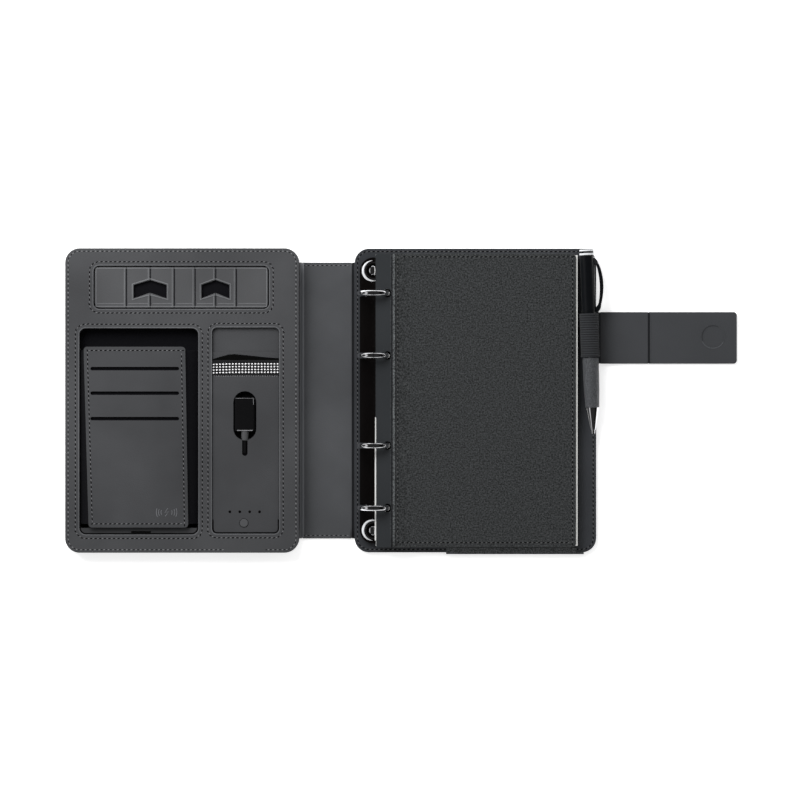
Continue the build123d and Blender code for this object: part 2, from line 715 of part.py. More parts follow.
def bottom_edge_wrap():
    low = -COVER_HEIGHT / 2
    wall = slab(WRAP_START_X, WRAP_END_X, low - WRAP_THICK, low, 0, RIGHT_TOP + WRAP_LIP_THICK)
    lip = slab(WRAP_START_X, WRAP_END_X - COVER_CORNER / 2, low, low + WRAP_LIP, RIGHT_TOP,
               RIGHT_TOP + WRAP_LIP_THICK)
    wall = fillet(wall.edges().filter_by(Axis.X).sort_by(Axis.Y)[:2], WRAP_THICK * 0.45)
    return wall + lip


# Ring mechanism

def arch_profile(drop=0.0):
    """The cover plate's section: two shoulders under a shallow arch, smaller by drop."""
    half = PLATE_WIDTH / 2 - drop
    shoulder = RIGHT_TOP + PLATE_SHOULDER - drop * 0.5
    crown = RIGHT_TOP + PLATE_SHOULDER + PLATE_ARCH - drop
    arch = ThreePointArc((RING_X - half, 0, shoulder), (RING_X, 0, crown), (RING_X + half, 0, shoulder))
    low = RIGHT_TOP - (1 if drop else 0)
    sides = Polyline((RING_X + half, 0, shoulder), (RING_X + half, 0, low), (RING_X - half, 0, low),
                     (RING_X - half, 0, shoulder))
    return make_face(Curve() + [arch, sides])


def mech_plate():
    half = PLATE_LENGTH / 2
    solid = Pos(0, -half, 0) * extrude(arch_profile(), 2 * half, dir=(0, 1, 0))
    hollow_half = half - PLATE_WIDTH * 0.8
    solid -= Pos(0, -hollow_half, 0) * extrude(arch_profile(PLATE_WALL), 2 * hollow_half, dir=(0, 1, 0))
    ends = Pos(RING_X, 0, RIGHT_TOP) * extrude(Rot(0, 0, 90) * SlotOverall(2 * half, PLATE_WIDTH), 20)
    plate = solid & ends
    crown = RIGHT_TOP + PLATE_SHOULDER + PLATE_ARCH
    for side in (-1, 1):
        y = side * RIVET_Y
        plate += disc(RING_X, y, RIM_OUTER_R, RIGHT_TOP, crown + RIM_RISE)
        plate -= disc(RING_X, y, RIM_INNER_R, crown - PLATE_ARCH, crown + RIM_RISE + 1)
        plate -= disc(RING_X, y, RIVET_SHANK_R, 0, crown)
    for y in RING_YS:
        for side in (-1, 1):
            near = RING_X + side * (RAIL_HALF - 1)
            far = RING_X + side * (PLATE_WIDTH / 2 + 1)
            plate -= slab(min(near, far), max(near, far), y - NOTCH_WIDTH / 2, y + NOTCH_WIDTH / 2, 0, 20)
    return plate


def mech_rivets():
    seat = RIGHT_TOP + PLATE_SHOULDER
    rivets = []
    for side in (-1, 1):
        y = side * RIVET_Y
        cap = Cone(RIVET_DOME_R, RIVET_DOME_R / 2, RIVET_DOME_RISE)
        cap = Pos(RING_X, y, seat + 1 + RIVET_DOME_RISE / 2) * cap
        head = disc(RING_X, y, RIVET_DOME_R, seat, seat + 1)
        shank = disc(RING_X, y, RIVET_SHANK_R, SKIN, seat)
        rivets.append((cap + head + shank).solid())
    return Compound(children=rivets)


def half_ring(y, side):
    """A quarter-and-more of wire from the rail up to the ring's crown."""
    centre = Pos(RING_X, y, RING_Z)
    wire = centre * revolve(Pos(0, 0, RING_R) * (Plane.YZ * RegularPolygon(WIRE_R, WIRE_SIDES)), Axis.Y, 360)
    reach = RING_R + 2 * WIRE_R
    near = RING_X + side * TOUCH_GAP / 2
    far = RING_X + side * reach
    return wire & slab(min(near, far), max(near, far), y - reach, y + reach, RAIL_PIVOT_Z - RAIL_THICK / 2,
                       RING_Z + reach)


def rail(side):
    """One of the two spring rails with its four half rings."""
    low = RAIL_PIVOT_Z - RAIL_THICK / 2
    high = low + RAIL_THICK
    near = RING_X + side * TOUCH_GAP / 2
    far = RING_X + side * RAIL_HALF
    body = slab(min(near, far), max(near, far), -RAIL_LENGTH / 2, RAIL_LENGTH / 2, low, high)
    foot_dx = math.sqrt(RING_R ** 2 - (RING_Z - RAIL_PIVOT_Z) ** 2)
    tab_end = RING_X + side * (foot_dx + WIRE_R)
    for y in RING_YS:
        body += slab(min(far, tab_end) - TOUCH_GAP, max(far, tab_end), y - RAIL_TAB / 2, y + RAIL_TAB / 2, low,
                     high)
        body += half_ring(y, side)
    return body


# Notebook

def leaf_block(left, right, height, lift, thick, corner=0.0):
    """Sheets that lie level over the rings and bend down to the cover beyond them."""
    hinge = NOTEBOOK_HINGE_Z + lift
    flat = NOTEBOOK_FLAT_Z + lift
    top = [(left, hinge + thick), (NOTEBOOK_CREASE, hinge + thick), (NOTEBOOK_BEND, flat + thick),
           (right, flat + thick)]
    low = [(right, flat), (NOTEBOOK_BEND, flat), (NOTEBOOK_CREASE, hinge), (left, hinge)]
    points = [point for point in top + low if left <= point[0] <= right]
    block = profile_along_y(points, -height / 2, height / 2)
    if corner:
        far = block.edges().filter_by(Axis.Z).sort_by(Axis.X)[-2:]
        block = fillet(far, corner)
    return block


def page_holes(block):
    """The block with a round way through it for each ring."""
    for y in RING_YS:
        block -= disc(RING_X + RING_R - PAGE_HOLE_INSET, y, PAGE_HOLE_R, NOTEBOOK_FLAT_Z, RING_Z + RING_R)
    return block


def notebook_back_board():
    return page_holes(leaf_block(SHEET_LEFT, SHEET_RIGHT, SHEET_HEIGHT, 0, BACK_BOARD, NOTEBOOK_CORNER))


def lower_leaves():
    return page_holes(leaf_block(SHEET_LEFT, SHEET_RIGHT, SHEET_HEIGHT, BACK_BOARD, LOWER_LEAVES))


def upper_leaves():
    lift = BACK_BOARD + LOWER_LEAVES + TOUCH_GAP
    return page_holes(leaf_block(SHEET_LEFT, SHEET_RIGHT, SHEET_HEIGHT, lift, UPPER_LEAVES))


def cover_lift():
    """How far the notebook's cover lies above its back board's underside."""
    return BACK_BOARD + LOWER_LEAVES + UPPER_LEAVES + 2 * TOUCH_GAP


def cover_hinge_strip():
    low = NOTEBOOK_HINGE_Z + cover_lift()
    half = SHEET_HEIGHT / 2 + COVER_OVERHANG
    return page_holes(slab(SHEET_LEFT + TOUCH_GAP, NOTEBOOK_CREASE - TOUCH_GAP / 2, -half, half, low,
                           low + NOTEBOOK_COVER))


def notebook_cover_panel():
    height = SHEET_HEIGHT + 2 * COVER_OVERHANG
    return leaf_block(NOTEBOOK_CREASE + TOUCH_GAP / 2, SHEET_RIGHT - PAGE_SHOW, height, cover_lift(),
                      NOTEBOOK_COVER, NOTEBOOK_CORNER)


# Closing strap

def strap_piece(x0, x1):
    """A length of the strap."""
    half = STRAP_WIDTH / 2
    return slab(x0, x1, STRAP_Y - half, STRAP_Y + half, 0, STRAP_THICK)


def strap_inner():
    return strap_piece(STRAP_HINGE_X + CLEAR, STRAP_FOLD_X - TOUCH_GAP / 2)


def strap_outer():
    strap = strap_piece(STRAP_FOLD_X + TOUCH_GAP / 2, STRAP_END_X)
    strap = fillet(strap.edges().filter_by(Axis.Z).sort_by(Axis.X)[-2:], STRAP_CORNER)
    low = (STRAP_THICK - MAGNET_THICK) / 2
    return strap - disc(MAGNET_X, MAGNET_Y, MAGNET_R + TOUCH_GAP, low, low + MAGNET_THICK)


def strap_magnet():
    low = (STRAP_THICK - MAGNET_THICK) / 2
    return disc(MAGNET_X, MAGNET_Y, MAGNET_R, low, low + MAGNET_THICK)


# Pen

def pen_place(shape):
    """Lay a piece that was built standing on its tip down along the pen."""
    direction = (-math.sin(PEN_TILT), math.cos(PEN_TILT), 0)
    outward = (math.cos(PEN_TILT), math.sin(PEN_TILT), 0)
    plane = Plane(origin=(PEN_TIP_X, PEN_TIP_Y, PEN_Z), x_dir=outward, z_dir=direction)
    return plane.location * shape


def turned(points):
    """A body of revolution from its radius and height along the pen."""
    outline = make_face(Polyline(*[(r, 0, s) for r, s in points], close=True))
    return revolve(outline, Axis.Z)


def pen_nose():
    shape = turned(((PEN_NOSE_TIP_R - 0.4, 0), (PEN_NOSE_TIP_R, 0), (PEN_NOSE_TIP_R + 0.3, 2.5), (3.2, 10),
                    (PEN_NOSE_R, PEN_GRIP_START), (PEN_BORE_R, PEN_GRIP_START), (PEN_BORE_R, 6),
                    (PEN_NOSE_TIP_R - 0.4, 6)))
    return pen_place(shape)


def pen_grip():
    shape = turned(((PEN_BORE_R, PEN_GRIP_START), (PEN_GRIP_LOW_R, PEN_GRIP_START), (PEN_GRIP_WAIST_R, PEN_GRIP_WAIST),
                    (PEN_GRIP_R, PEN_GRIP_FULL),
                    (PEN_GRIP_R, PEN_GRIP_END - 1), (PEN_BARREL_R, PEN_GRIP_END), (PEN_BORE_R, PEN_GRIP_END)))
    return pen_place(shape)


def pen_upper_barrel():
    top = PEN_LENGTH - PEN_FINIAL_LENGTH
    start = PEN_GRIP_END + TOUCH_GAP / 2
    shape = turned(((PEN_BORE_R, start), (PEN_BARREL_R, start), (PEN_BARREL_R, top), (0, top), (0, top - 6),
                    (PEN_BORE_R, top - 6)))
    return pen_place(shape)


def pen_finial():
    top = PEN_LENGTH - PEN_FINIAL_LENGTH
    shape = turned(((0, top), (PEN_BARREL_R + 0.1, top), (PEN_BARREL_R + 0.1, PEN_LENGTH - 1.6),
                    (PEN_BARREL_R - 0.5, PEN_LENGTH - 0.4), (PEN_BARREL_R - 1.4, PEN_LENGTH), (0, PEN_LENGTH)))
    return pen_place(shape)


def pen_clip():
    """A bowed strip that leaves the barrel near its top and comes back to it at its free end."""
    root = (PEN_BARREL_R, 0, CLIP_START)
    bow = (CLIP_BOW, 0, CLIP_BOW_AT)
    end = (CLIP_END_OFFSET, 0, CLIP_END)
    outer = ThreePointArc(root, bow, end)
    inner = ThreePointArc((PEN_BARREL_R, 0, CLIP_START - 3), (CLIP_BOW - CLIP_THICK, 0, CLIP_BOW_AT),
                          (CLIP_END_OFFSET - CLIP_THICK, 0, CLIP_END))
    face = make_face(Curve() + [outer, Line(outer @ 1, inner @ 1), inner, Line(inner @ 0, outer @ 0)])
    strip = extrude(face, CLIP_WIDTH / 2, both=True, dir=(0, 1, 0))
    barrel = Pos(0, 0, PEN_LENGTH / 2) * Cylinder(PEN_BARREL_R, PEN_LENGTH)
    return pen_place(strip - barrel)


def pen_refill():
    low = REFILL_RETRACT
    neck = 9.5
    shape = turned(((0, low), (REFILL_TIP_R, low + 0.4), (REFILL_TIP_R, neck), (REFILL_R, neck),
                    (REFILL_R, REFILL_LENGTH), (0, REFILL_LENGTH)))
    return pen_place(shape)


def pen_loop():
    """An elastic sleeve sewn to the lining, with a flat foot under it."""
    length = (LOOP_HIGH_Y - LOOP_LOW_Y) / math.cos(PEN_TILT)
    start = (LOOP_LOW_Y - PEN_TIP_Y) / math.cos(PEN_TILT)
    middle = start + length / 2
    tube = Pos(0, 0, middle) * Cylinder(LOOP_OUTER_R, length)
    foot_low = LOOP_OUTER_R
    foot = Pos(0, foot_low - 0.8, middle) * Box(LOOP_BASE_WIDTH, 1.6, length)
    bore = Pos(0, 0, middle) * Cylinder(LOOP_INNER_R, length + 2)
    return pen_place(tube + foot - bore)


# Levels that follow from the sizes above
STAND_FLOOR_LOW = CORE_TOP - STAND_BAY_DEPTH + STAND_BAY_FLOOR
STAND_LOW = STAND_FLOOR_LOW + STAND_BAY_FLOOR + TOUCH_GAP
STAND_TOP = STAND_LOW + STAND_STRIP
FLOOR_LEATHER_LOW_Z = CORE_LOW + BANK_HEIGHT - POCKET_LEATHER
BANK_TOP = CORE_LOW + BANK_HEIGHT
BANK_SPLIT = CORE_LOW + BANK_BASE
POCKET_TOP = BANK_TOP + POCKET_LEATHER
CARRIER_TOP = CORE_LOW + CARRIER
POCKET_FLOOR = CARRIER_TOP + FLOOR_LINING
CARD_LINING_LOW = POCKET_FLOOR + PHONE_SPACE
PANEL_LOW = CARD_LINING_LOW + CARD_LINING + CARD_SLEEVE
PANEL_TOP = PANEL_LOW + PANEL
CHARGER_X = PHONE_WINDOW[0]
COVER_MAGNET_X = STRAP_HINGE_X + STRAP_FOLD_X - MAGNET_X
PLUG_LOW = POCKET_TOP + 1.2 - PLUG_THICK
LEAD_Z = PLUG_LOW + PLUG_THICK / 2
LEAD_END = KEYHOLE_SLOT_END + KEYHOLE_SLOT / 2
CELL_LOW_Y = -73.0
CELL_SPLIT_Y = KEYHOLE_SLOT_END - BANK_WALL - 1
CIRCUIT_LOW = CORE_LOW + BANK_WALL + 1.4
SWITCH_TOP = CIRCUIT_LOW + CIRCUIT_THICK + 1.6
PORT_Z = CORE_LOW + BANK_HEIGHT / 2
PORTS = ((PORT_NOTCH_MIDDLE + USB_PLACE, USB_WIDE, USB_HIGH),
         (PORT_NOTCH_MIDDLE + USB_SMALL_PLACE, USB_SMALL_WIDE, USB_SMALL_HIGH))
NOTCH_LOW = CORE_LOW + 0.4
NOTCH_HIGH = CORE_TOP - 0.7


def main():
    nodes = {
        "left_outer_skin": left_outer_skin(),
        "left_edge_band": left_edge_band(),
        "left_back_board": left_back_board(),
        "cover_magnet": cover_magnet(),
        "left_core_frame": left_core_frame(),
        "left_face_leather": left_face_leather(),
        "coil_carrier": coil_carrier(),
        "ferrite_shield": ferrite_shield(),
        "wireless_coil": wireless_coil(),
        "phone_floor_lining": phone_floor_lining(),
        "pocket_panel": pocket_panel(),
        "card_sleeves": card_sleeves(),
        "pocket_gussets": pocket_gussets(),
        "pocket_base_strip": pocket_base_strip(),
        "stand_bay_lining": stand_bay_lining(),
        "power_bank_base": power_bank_base(),
        "power_bank_top": power_bank_top(),
        "battery_cells": battery_cells(),
        "circuit_board": circuit_board(),
        "charging_ports": charging_ports(),
        "led_light_pipes": led_light_pipes(),
        "power_button": power_button(),
        "bank_pocket_front": bank_pocket_front(),
        "pocket_elastic_band": pocket_elastic_band(),
        "bank_floor_leather": bank_floor_leather(),
        "charging_plug": charging_plug(),
        "charging_lead": charging_lead(),
        "spine_outer_skin": spine_sheet(0, SPINE_SKIN),
        "spine_inner_skin": spine_sheet(SPINE_SKIN, 2 * SPINE_SKIN),
        "right_outer_skin": right_outer_skin(),
        "right_board": right_board(),
        "right_lining": right_lining(),
        "bottom_edge_wrap": bottom_edge_wrap(),
        "strap_anchor": strap_anchor(),
        "mech_plate": mech_plate(),
        "mech_rivets": mech_rivets(),
        "left_rail": rail(-1),
        "right_rail": rail(1),
        "notebook_back_board": notebook_back_board(),
        "lower_leaves": lower_leaves(),
        "upper_leaves": upper_leaves(),
        "cover_hinge_strip": cover_hinge_strip(),
        "notebook_cover_panel": notebook_cover_panel(),
        "strap_inner": strap_inner(),
        "strap_outer": strap_outer(),
        "strap_magnet": strap_magnet(),
        "pen_nose": pen_nose(),
        "pen_grip": pen_grip(),
        "pen_upper_barrel": pen_upper_barrel(),
        "pen_finial": pen_finial(),
        "pen_clip": pen_clip(),
        "pen_refill": pen_refill(),
        "pen_loop": pen_loop(),
    }
    nodes.update(stand_pieces())
    for name, shape in nodes.items():
        save(name, shape)
    print(len(nodes), "nodes")


main()
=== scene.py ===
# %% [markdown]
# A leather organizer, dressed from its CAD frame
# The frame holds every piece at its real size. This script gives each one its finish, rounds the leather
# edges, sews the seams and adds the small raised lines that a press leaves in leather.

# %% Load the frame
import json
import math
import random

import bmesh
import bpy
from mathutils import Matrix, Vector


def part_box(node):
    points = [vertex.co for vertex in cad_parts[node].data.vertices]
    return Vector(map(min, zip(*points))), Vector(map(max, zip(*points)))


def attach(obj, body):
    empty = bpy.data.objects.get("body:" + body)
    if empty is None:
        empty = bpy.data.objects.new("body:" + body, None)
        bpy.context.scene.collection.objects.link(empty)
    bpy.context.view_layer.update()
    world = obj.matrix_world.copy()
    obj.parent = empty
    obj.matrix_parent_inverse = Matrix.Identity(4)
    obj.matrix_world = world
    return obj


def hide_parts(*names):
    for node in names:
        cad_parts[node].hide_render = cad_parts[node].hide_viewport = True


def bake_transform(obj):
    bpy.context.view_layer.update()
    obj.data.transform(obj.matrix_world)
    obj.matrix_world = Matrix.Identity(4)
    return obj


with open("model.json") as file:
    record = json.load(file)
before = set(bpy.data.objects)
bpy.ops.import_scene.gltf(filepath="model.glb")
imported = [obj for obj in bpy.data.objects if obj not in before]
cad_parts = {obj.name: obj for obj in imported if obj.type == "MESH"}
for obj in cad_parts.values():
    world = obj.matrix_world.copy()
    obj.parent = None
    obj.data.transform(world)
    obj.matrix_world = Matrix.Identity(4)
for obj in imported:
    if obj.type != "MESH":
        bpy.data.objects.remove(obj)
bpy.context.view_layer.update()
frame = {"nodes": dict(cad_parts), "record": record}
MM = 0.001
record = frame["record"]
BODY_OF = {node: body for body, nodes in record["behaviour"]["bodies"].items() for node in nodes}
SLOT_OF = {entry["node"]: entry["material_slot"] for entry in record["subparts"]}


# %% [markdown]
# Shader sums
# A finish is easier to read as a sum than as a web of nodes. This small class wraps one output of a node,
# and the usual signs add Math nodes to the tree. Any other node comes from add_node, which sets the node's
# own settings first and its sockets after that.

# %% Shader helper
class Value:
    """One output in a material's tree that can take part in sums."""

    def __init__(self, tree, socket):
        self.tree = tree
        self.socket = socket

    def sum_with(self, operation, other, flip=False):
        """A Math node on this value and another, in either order."""
        pair = (other, self) if flip else (self, other)
        return add_node(self.tree, "ShaderNodeMath", {"operation": operation}, {0: pair[0], 1: pair[1]})

    def __add__(self, other):
        return self.sum_with("ADD", other)

    __radd__ = __add__

    def __sub__(self, other):
        return self.sum_with("SUBTRACT", other)

    def __rsub__(self, other):
        return self.sum_with("SUBTRACT", other, flip=True)

    def __mul__(self, other):
        return self.sum_with("MULTIPLY", other)


def add_node(tree, kind, settings, sockets, output=0):
    """One node with its settings, then its sockets, each a number, a colour or a Value."""
    node = tree.nodes.new(kind)
    stops = settings.pop("stops", None)
    for name, setting in settings.items():
        setattr(node, name, setting)
    if stops:
        ramp = node.color_ramp
        while len(ramp.elements) < len(stops):
            ramp.elements.new(0.5)
        for element, (place, grey) in zip(ramp.elements, stops):
            element.position = place
            element.color = (grey, grey, grey, 1)
    for key, source in sockets.items():
        if isinstance(source, Value):
            tree.links.new(source.socket, node.inputs[key])
        else:
            node.inputs[key].default_value = source
    return Value(tree, node.outputs[output])


# %% [markdown]
# One way to start every finish
# Each finish starts as a Principled surface with its plain numbers set on its own sockets. What changes
# over the surface is linked after that: colour, roughness and the bump that feeds Normal.

# %% Finish helper
class Finish:
    """A Principled material that is filled in step by step."""

    def __init__(self, name, colour, roughness, metallic=0.0, coat=0.0, sheen=0.0, gloss=0.5):
        self.material = bpy.data.materials.new(name)
        self.material.use_nodes = True
        self.tree = self.material.node_tree
        self.shader = self.tree.nodes["Principled BSDF"]
        self.shader.inputs["Base Color"].default_value = (*colour, 1)
        self.shader.inputs["Roughness"].default_value = roughness
        self.shader.inputs["Metallic"].default_value = metallic
        self.shader.inputs["Coat Weight"].default_value = coat
        self.shader.inputs["Sheen Weight"].default_value = sheen
        self.shader.inputs["Specular IOR Level"].default_value = gloss
        self.colour = colour

    def place(self):
        """The point on the piece, in metres."""
        return add_node(self.tree, "ShaderNodeTexCoord", {}, {}, output="Object")

    def noise(self, scale, detail=4.0, roughness=0.55):
        """Cloudy noise from 0 to 1, with scale in cells per metre."""
        sockets = {"Vector": self.place(), "Scale": scale, "Detail": detail, "Roughness": roughness}
        return add_node(self.tree, "ShaderNodeTexNoise", {}, sockets)

    def pebbles(self, scale):
        """Rounded cells like leather grain, with scale in cells per metre."""
        sockets = {"Vector": self.place(), "Scale": scale}
        return add_node(self.tree, "ShaderNodeTexVoronoi", {"feature": "SMOOTH_F1"}, sockets)

    def wave(self, direction, scale):
        """Even ribs across one axis."""
        settings = {"wave_type": "BANDS", "bands_direction": direction}
        return add_node(self.tree, "ShaderNodeTexWave", settings, {"Vector": self.place(), "Scale": scale}, 1)

    def spread(self, value, low, high):
        """The value stretched so that low becomes 0 and high becomes 1."""
        sockets = {0: value, 1: low, 2: high, 3: 0.0, 4: 1.0}
        return add_node(self.tree, "ShaderNodeMapRange", {}, sockets)

    def between(self, factor, first, second):
        """A colour that goes from the first to the second with the factor."""
        sockets = {0: factor, 6: (*first, 1), 7: (*second, 1)}
        return add_node(self.tree, "ShaderNodeMix", {"data_type": "RGBA"}, sockets, output=2)

    def paint(self, value):
        self.tree.links.new(value.socket, self.shader.inputs["Base Color"])

    def dull(self, value):
        self.tree.links.new(value.socket, self.shader.inputs["Roughness"])

    def emboss(self, height, distance, strength=1.0):
        """Bump from a height between 0 and 1 that stands for so many metres."""
        sockets = {"Height": height, "Distance": distance, "Strength": strength}
        bump = add_node(self.tree, "ShaderNodeBump", {}, sockets)
        self.tree.links.new(bump.socket, self.shader.inputs["Normal"])


def shade(colour, factor):
    """A lighter or darker version of a colour."""
    return tuple(channel * factor for channel in colour)


# %% [markdown]
# Leather
# The covers are smooth split leather with a fine pebble grain that hardly shows from a step away. What
# shows is the cloudiness: hands and heat leave patches that are a little lighter or shinier. So the grain
# goes into the bump alone, and slow noise goes into colour and roughness.

# %% Leather finishes
def leather(name, colour, grain=1100.0, depth=0.00012, cloud=0.16, roughness=0.5, gloss=0.35):
    finish = Finish(name, colour, roughness, gloss=gloss)
    slow = finish.noise(14.0, 3.0)
    fine = finish.noise(2600.0, 2.0)
    patches = finish.spread(slow, 0.3, 0.7)
    finish.paint(finish.between(patches, shade(colour, 1 - cloud), shade(colour, 1 + cloud)))
    finish.dull(roughness - 0.06 + patches * 0.1 + fine * 0.05)
    finish.emboss(finish.pebbles(grain) * 0.7 + fine * 0.3, depth)
    return finish.material


COVER_GREY = (0.052, 0.053, 0.056)
POCKET_GREY = (0.046, 0.047, 0.050)
STAND_GREY = (0.062, 0.063, 0.066)
STRAP_GREY = (0.045, 0.047, 0.051)
BACK_GREY = (0.030, 0.032, 0.036)
SPINE_GREY = (0.057, 0.059, 0.063)
cover_leather = leather("cover_leather", COVER_GREY)
pocket_leather = leather("pocket_leather", POCKET_GREY, depth=0.0001)
stand_leather = leather("stand_leather", STAND_GREY, roughness=0.46)
strap_leather = leather("strap_leather", STRAP_GREY, cloud=0.08)
back_leather = leather("back_leather", BACK_GREY)
# Lighter and darker copies of the strap leather: a painted highlight and a painted shade on the magnet mark.
strap_highlight_painted = leather("strap_highlight_painted", shade(STRAP_GREY, 1.5), cloud=0.05)
strap_shade = leather("strap_shade", shade(STRAP_GREY, 0.62), cloud=0.05)
spine_leather = leather("spine_leather", SPINE_GREY)
# A lighter copy of the stand leather: painted highlight on the stand's pressed ridges.
ridge_highlight_painted = leather("ridge_highlight_painted", shade(STAND_GREY, 1.9), roughness=0.38, cloud=0.25)
# Near black: painted shade in creases and in the stand's fold grooves.
crease_shade_painted = leather("crease_shade_painted_leather", (0.012, 0.0125, 0.014), cloud=0.05, gloss=0.15)
# A lighter copy of the spine leather: painted light on the spine's left edge, where the left cover's wall
# throws shade.
spine_edge_light_painted = leather("spine_edge_light_painted", shade(SPINE_GREY, 2.4), cloud=0.05)
foot_leather = leather("foot_leather", shade(POCKET_GREY, 0.75))
# A much lighter copy of the pocket leather: painted highlight on the pressed charging mark.
mark_highlight_painted = leather("mark_highlight_painted", shade(POCKET_GREY, 3.0), roughness=0.35, cloud=0.3)
# A lighter copy of the cover leather: painted highlight on the turned lips of the windows.
lip_highlight_painted = leather("lip_highlight_painted", shade(COVER_GREY, 1.75), roughness=0.38, cloud=0.2)
print("leathers:", cover_leather.name, pocket_leather.name, stand_leather.name)


# %% [markdown]
# Notebook cover
# The notebook is bound in a harder, coarser material: a dark ground with lighter worn peaks, like fine
# sandpaper under paint. Two sizes of noise make the peaks, and the same height lightens them.

# %% Notebook finish
def grained_cover(name, colour):
    finish = Finish(name, colour, 0.62, gloss=0.3)
    coarse = finish.noise(900.0, 3.0, 0.65)
    fine = finish.noise(1700.0, 2.0)
    height = coarse * 0.65 + fine * 0.35
    worn = finish.spread(height, 0.4, 0.63)
    finish.paint(finish.between(worn, shade(colour, 0.3), shade(colour, 2.0)))
    finish.dull(0.72 - worn * 0.18)
    finish.emboss(height, 0.0006)
    return finish.material


NOTEBOOK_GREY = (0.0305, 0.0325, 0.0335)
notebook_leather = grained_cover("notebook_cover", NOTEBOOK_GREY)
# A lighter copy of the notebook cover: painted highlight on the cover's rounded edge beside its hinge crease.
notebook_rim_highlight_painted = grained_cover("notebook_rim", shade(NOTEBOOK_GREY, 2.2))
wrap_cloth = grained_cover("wrap_cloth", shade(NOTEBOOK_GREY, 1.9))
hinge_leather = leather("notebook_hinge", (0.0245, 0.0268, 0.0292), depth=0.00006, cloud=0.08, roughness=0.42)
print("notebook finishes:", notebook_leather.name, notebook_rim_highlight_painted.name, wrap_cloth.name, hinge_leather.name)


# %% [markdown]
# Black linings, elastic and paper
# The linings are napped cloth, so they have sheen and a fine uneven pile. The elastics are woven, and their
# ribs are real geometry where they show; the finish adds the threads, in light and dark bands at about the
# ribs' pitch that are partly a painted shade in the grooves. Paper is nearly white, with thin darker lines on
# the edges of the stack, a painted shade where the sheets meet.

# %% Cloth and paper finishes
def nap(name, colour, scale=3200.0):
    finish = Finish(name, colour, 0.95, sheen=0.02, gloss=0.05)
    pile = finish.noise(scale, 2.0, 0.7)
    finish.paint(finish.between(pile, shade(colour, 0.5), shade(colour, 1.7)))
    finish.emboss(pile, 0.0002)
    return finish.material


def woven(name, colour, direction, threads):
    finish = Finish(name, colour, 0.8, sheen=0.05, gloss=0.15)
    ribs = finish.wave(direction, threads)
    fuzz = finish.noise(4000.0, 2.0)
    finish.paint(finish.between(ribs * 0.7 + fuzz * 0.3, shade(colour, 0.6), shade(colour, 1.5)))
    finish.emboss(ribs, 0.0001)
    return finish.material


def paper_stack(name, colour):
    finish = Finish(name, colour, 0.85)
    sheets = finish.wave("Z", 1500.0)
    finish.paint(finish.between(sheets, shade(colour, 0.78), colour))
    return finish.material


lining_cloth = nap("black_lining", (0.0045, 0.0045, 0.0055))
elastic_cloth = woven("black_elastic", (0.010, 0.010, 0.011), "X", 420.0)
loop_cloth = woven("ribbed_elastic", (0.021, 0.022, 0.024), "Y", 185.0)
page_paper = paper_stack("page_paper", (0.84, 0.84, 0.82))
dot_thread = woven("pale_thread", (0.8, 0.8, 0.81), "Y", 700.0)
seam_thread = woven("seam_thread", (0.21, 0.21, 0.215), "X", 900.0)
sunk_thread = woven("sunk_thread", (0.15, 0.15, 0.155), "X", 900.0)
book_thread = woven("book_thread", (0.1, 0.1, 0.1), "X", 900.0)
# Grey thread for the elastic's hem, also used for painted highlights on the charging plug's edges.
hem_thread_and_highlight = woven("hem_thread_and_highlight", (0.2, 0.2, 0.21), "X", 900.0)
# Near black: painted shade in needle holes, and painted shadow in dark lines and sheets laid where shadow
# falls.
shadow_black_painted = nap("shadow_black_painted", (0.002, 0.002, 0.002))
print("cloth and paper:", lining_cloth.name, elastic_cloth.name, loop_cloth.name, page_paper.name)


# %% [markdown]
# Metals and mouldings
# Chrome has almost no colour of its own, so what it shows is the studio round it. A trace of noise in its
# roughness keeps it from looking like a perfect mirror. The mouldings have the fine spark-eroded texture
# that a tool leaves.

# %% Metal and plastic finishes
def plated(name, colour, roughness=0.09):
    finish = Finish(name, colour, roughness, metallic=1.0)
    handling = finish.noise(90.0, 3.0)
    finish.dull(roughness * 0.7 + handling * roughness * 0.8)
    finish.emboss(finish.noise(500.0, 2.0), 0.00001, 0.5)
    return finish.material


def moulded(name, colour, roughness=0.5, coat=0.0, depth=0.00003, gloss=0.5):
    finish = Finish(name, colour, roughness, coat=coat, gloss=gloss)
    spark = finish.noise(3500.0, 2.0)
    wear = finish.noise(60.0, 3.0)
    finish.paint(finish.between(wear, shade(colour, 0.85), shade(colour, 1.2)))
    finish.dull(roughness - 0.05 + wear * 0.1)
    finish.emboss(spark, depth)
    return finish.material


def speckled(name, colour):
    finish = Finish(name, colour, 0.45, metallic=0.2, gloss=0.4)
    flecks = finish.spread(finish.noise(2300.0, 2.0, 0.7), 0.42, 0.66)
    finish.paint(finish.between(flecks, shade(colour, 0.7), shade(colour, 2.6)))
    finish.dull(0.55 - flecks * 0.2)
    finish.emboss(flecks, 0.00005)
    return finish.material


# %% [markdown]
# Copper coil
# The charging coil is a flat spiral of wire under the phone pocket's floor. Real turns would take many faces
# for a piece that is seldom seen, so rings of bump round its centre stand for them.

# %% Coil finish
COIL_CENTRE = (-0.1357, -0.02, 0.0)
COIL_WIRE = 0.0004


def wound_copper(name):
    finish = Finish(name, (0.72, 0.38, 0.2), 0.35, metallic=0.8)
    from_coil = add_node(finish.tree, "ShaderNodeVectorMath", {"operation": "SUBTRACT"},
                         {0: finish.place(), 1: COIL_CENTRE})
    reach = add_node(finish.tree, "ShaderNodeVectorMath", {"operation": "LENGTH"}, {0: from_coil}, output=1)
    turns = add_node(finish.tree, "ShaderNodeMath", {"operation": "PINGPONG"}, {0: reach, 1: COIL_WIRE})
    finish.emboss(turns * (1 / COIL_WIRE), COIL_WIRE)
    return finish.material


coil_copper = wound_copper("coil_copper")
print("coil finish:", coil_copper.name)
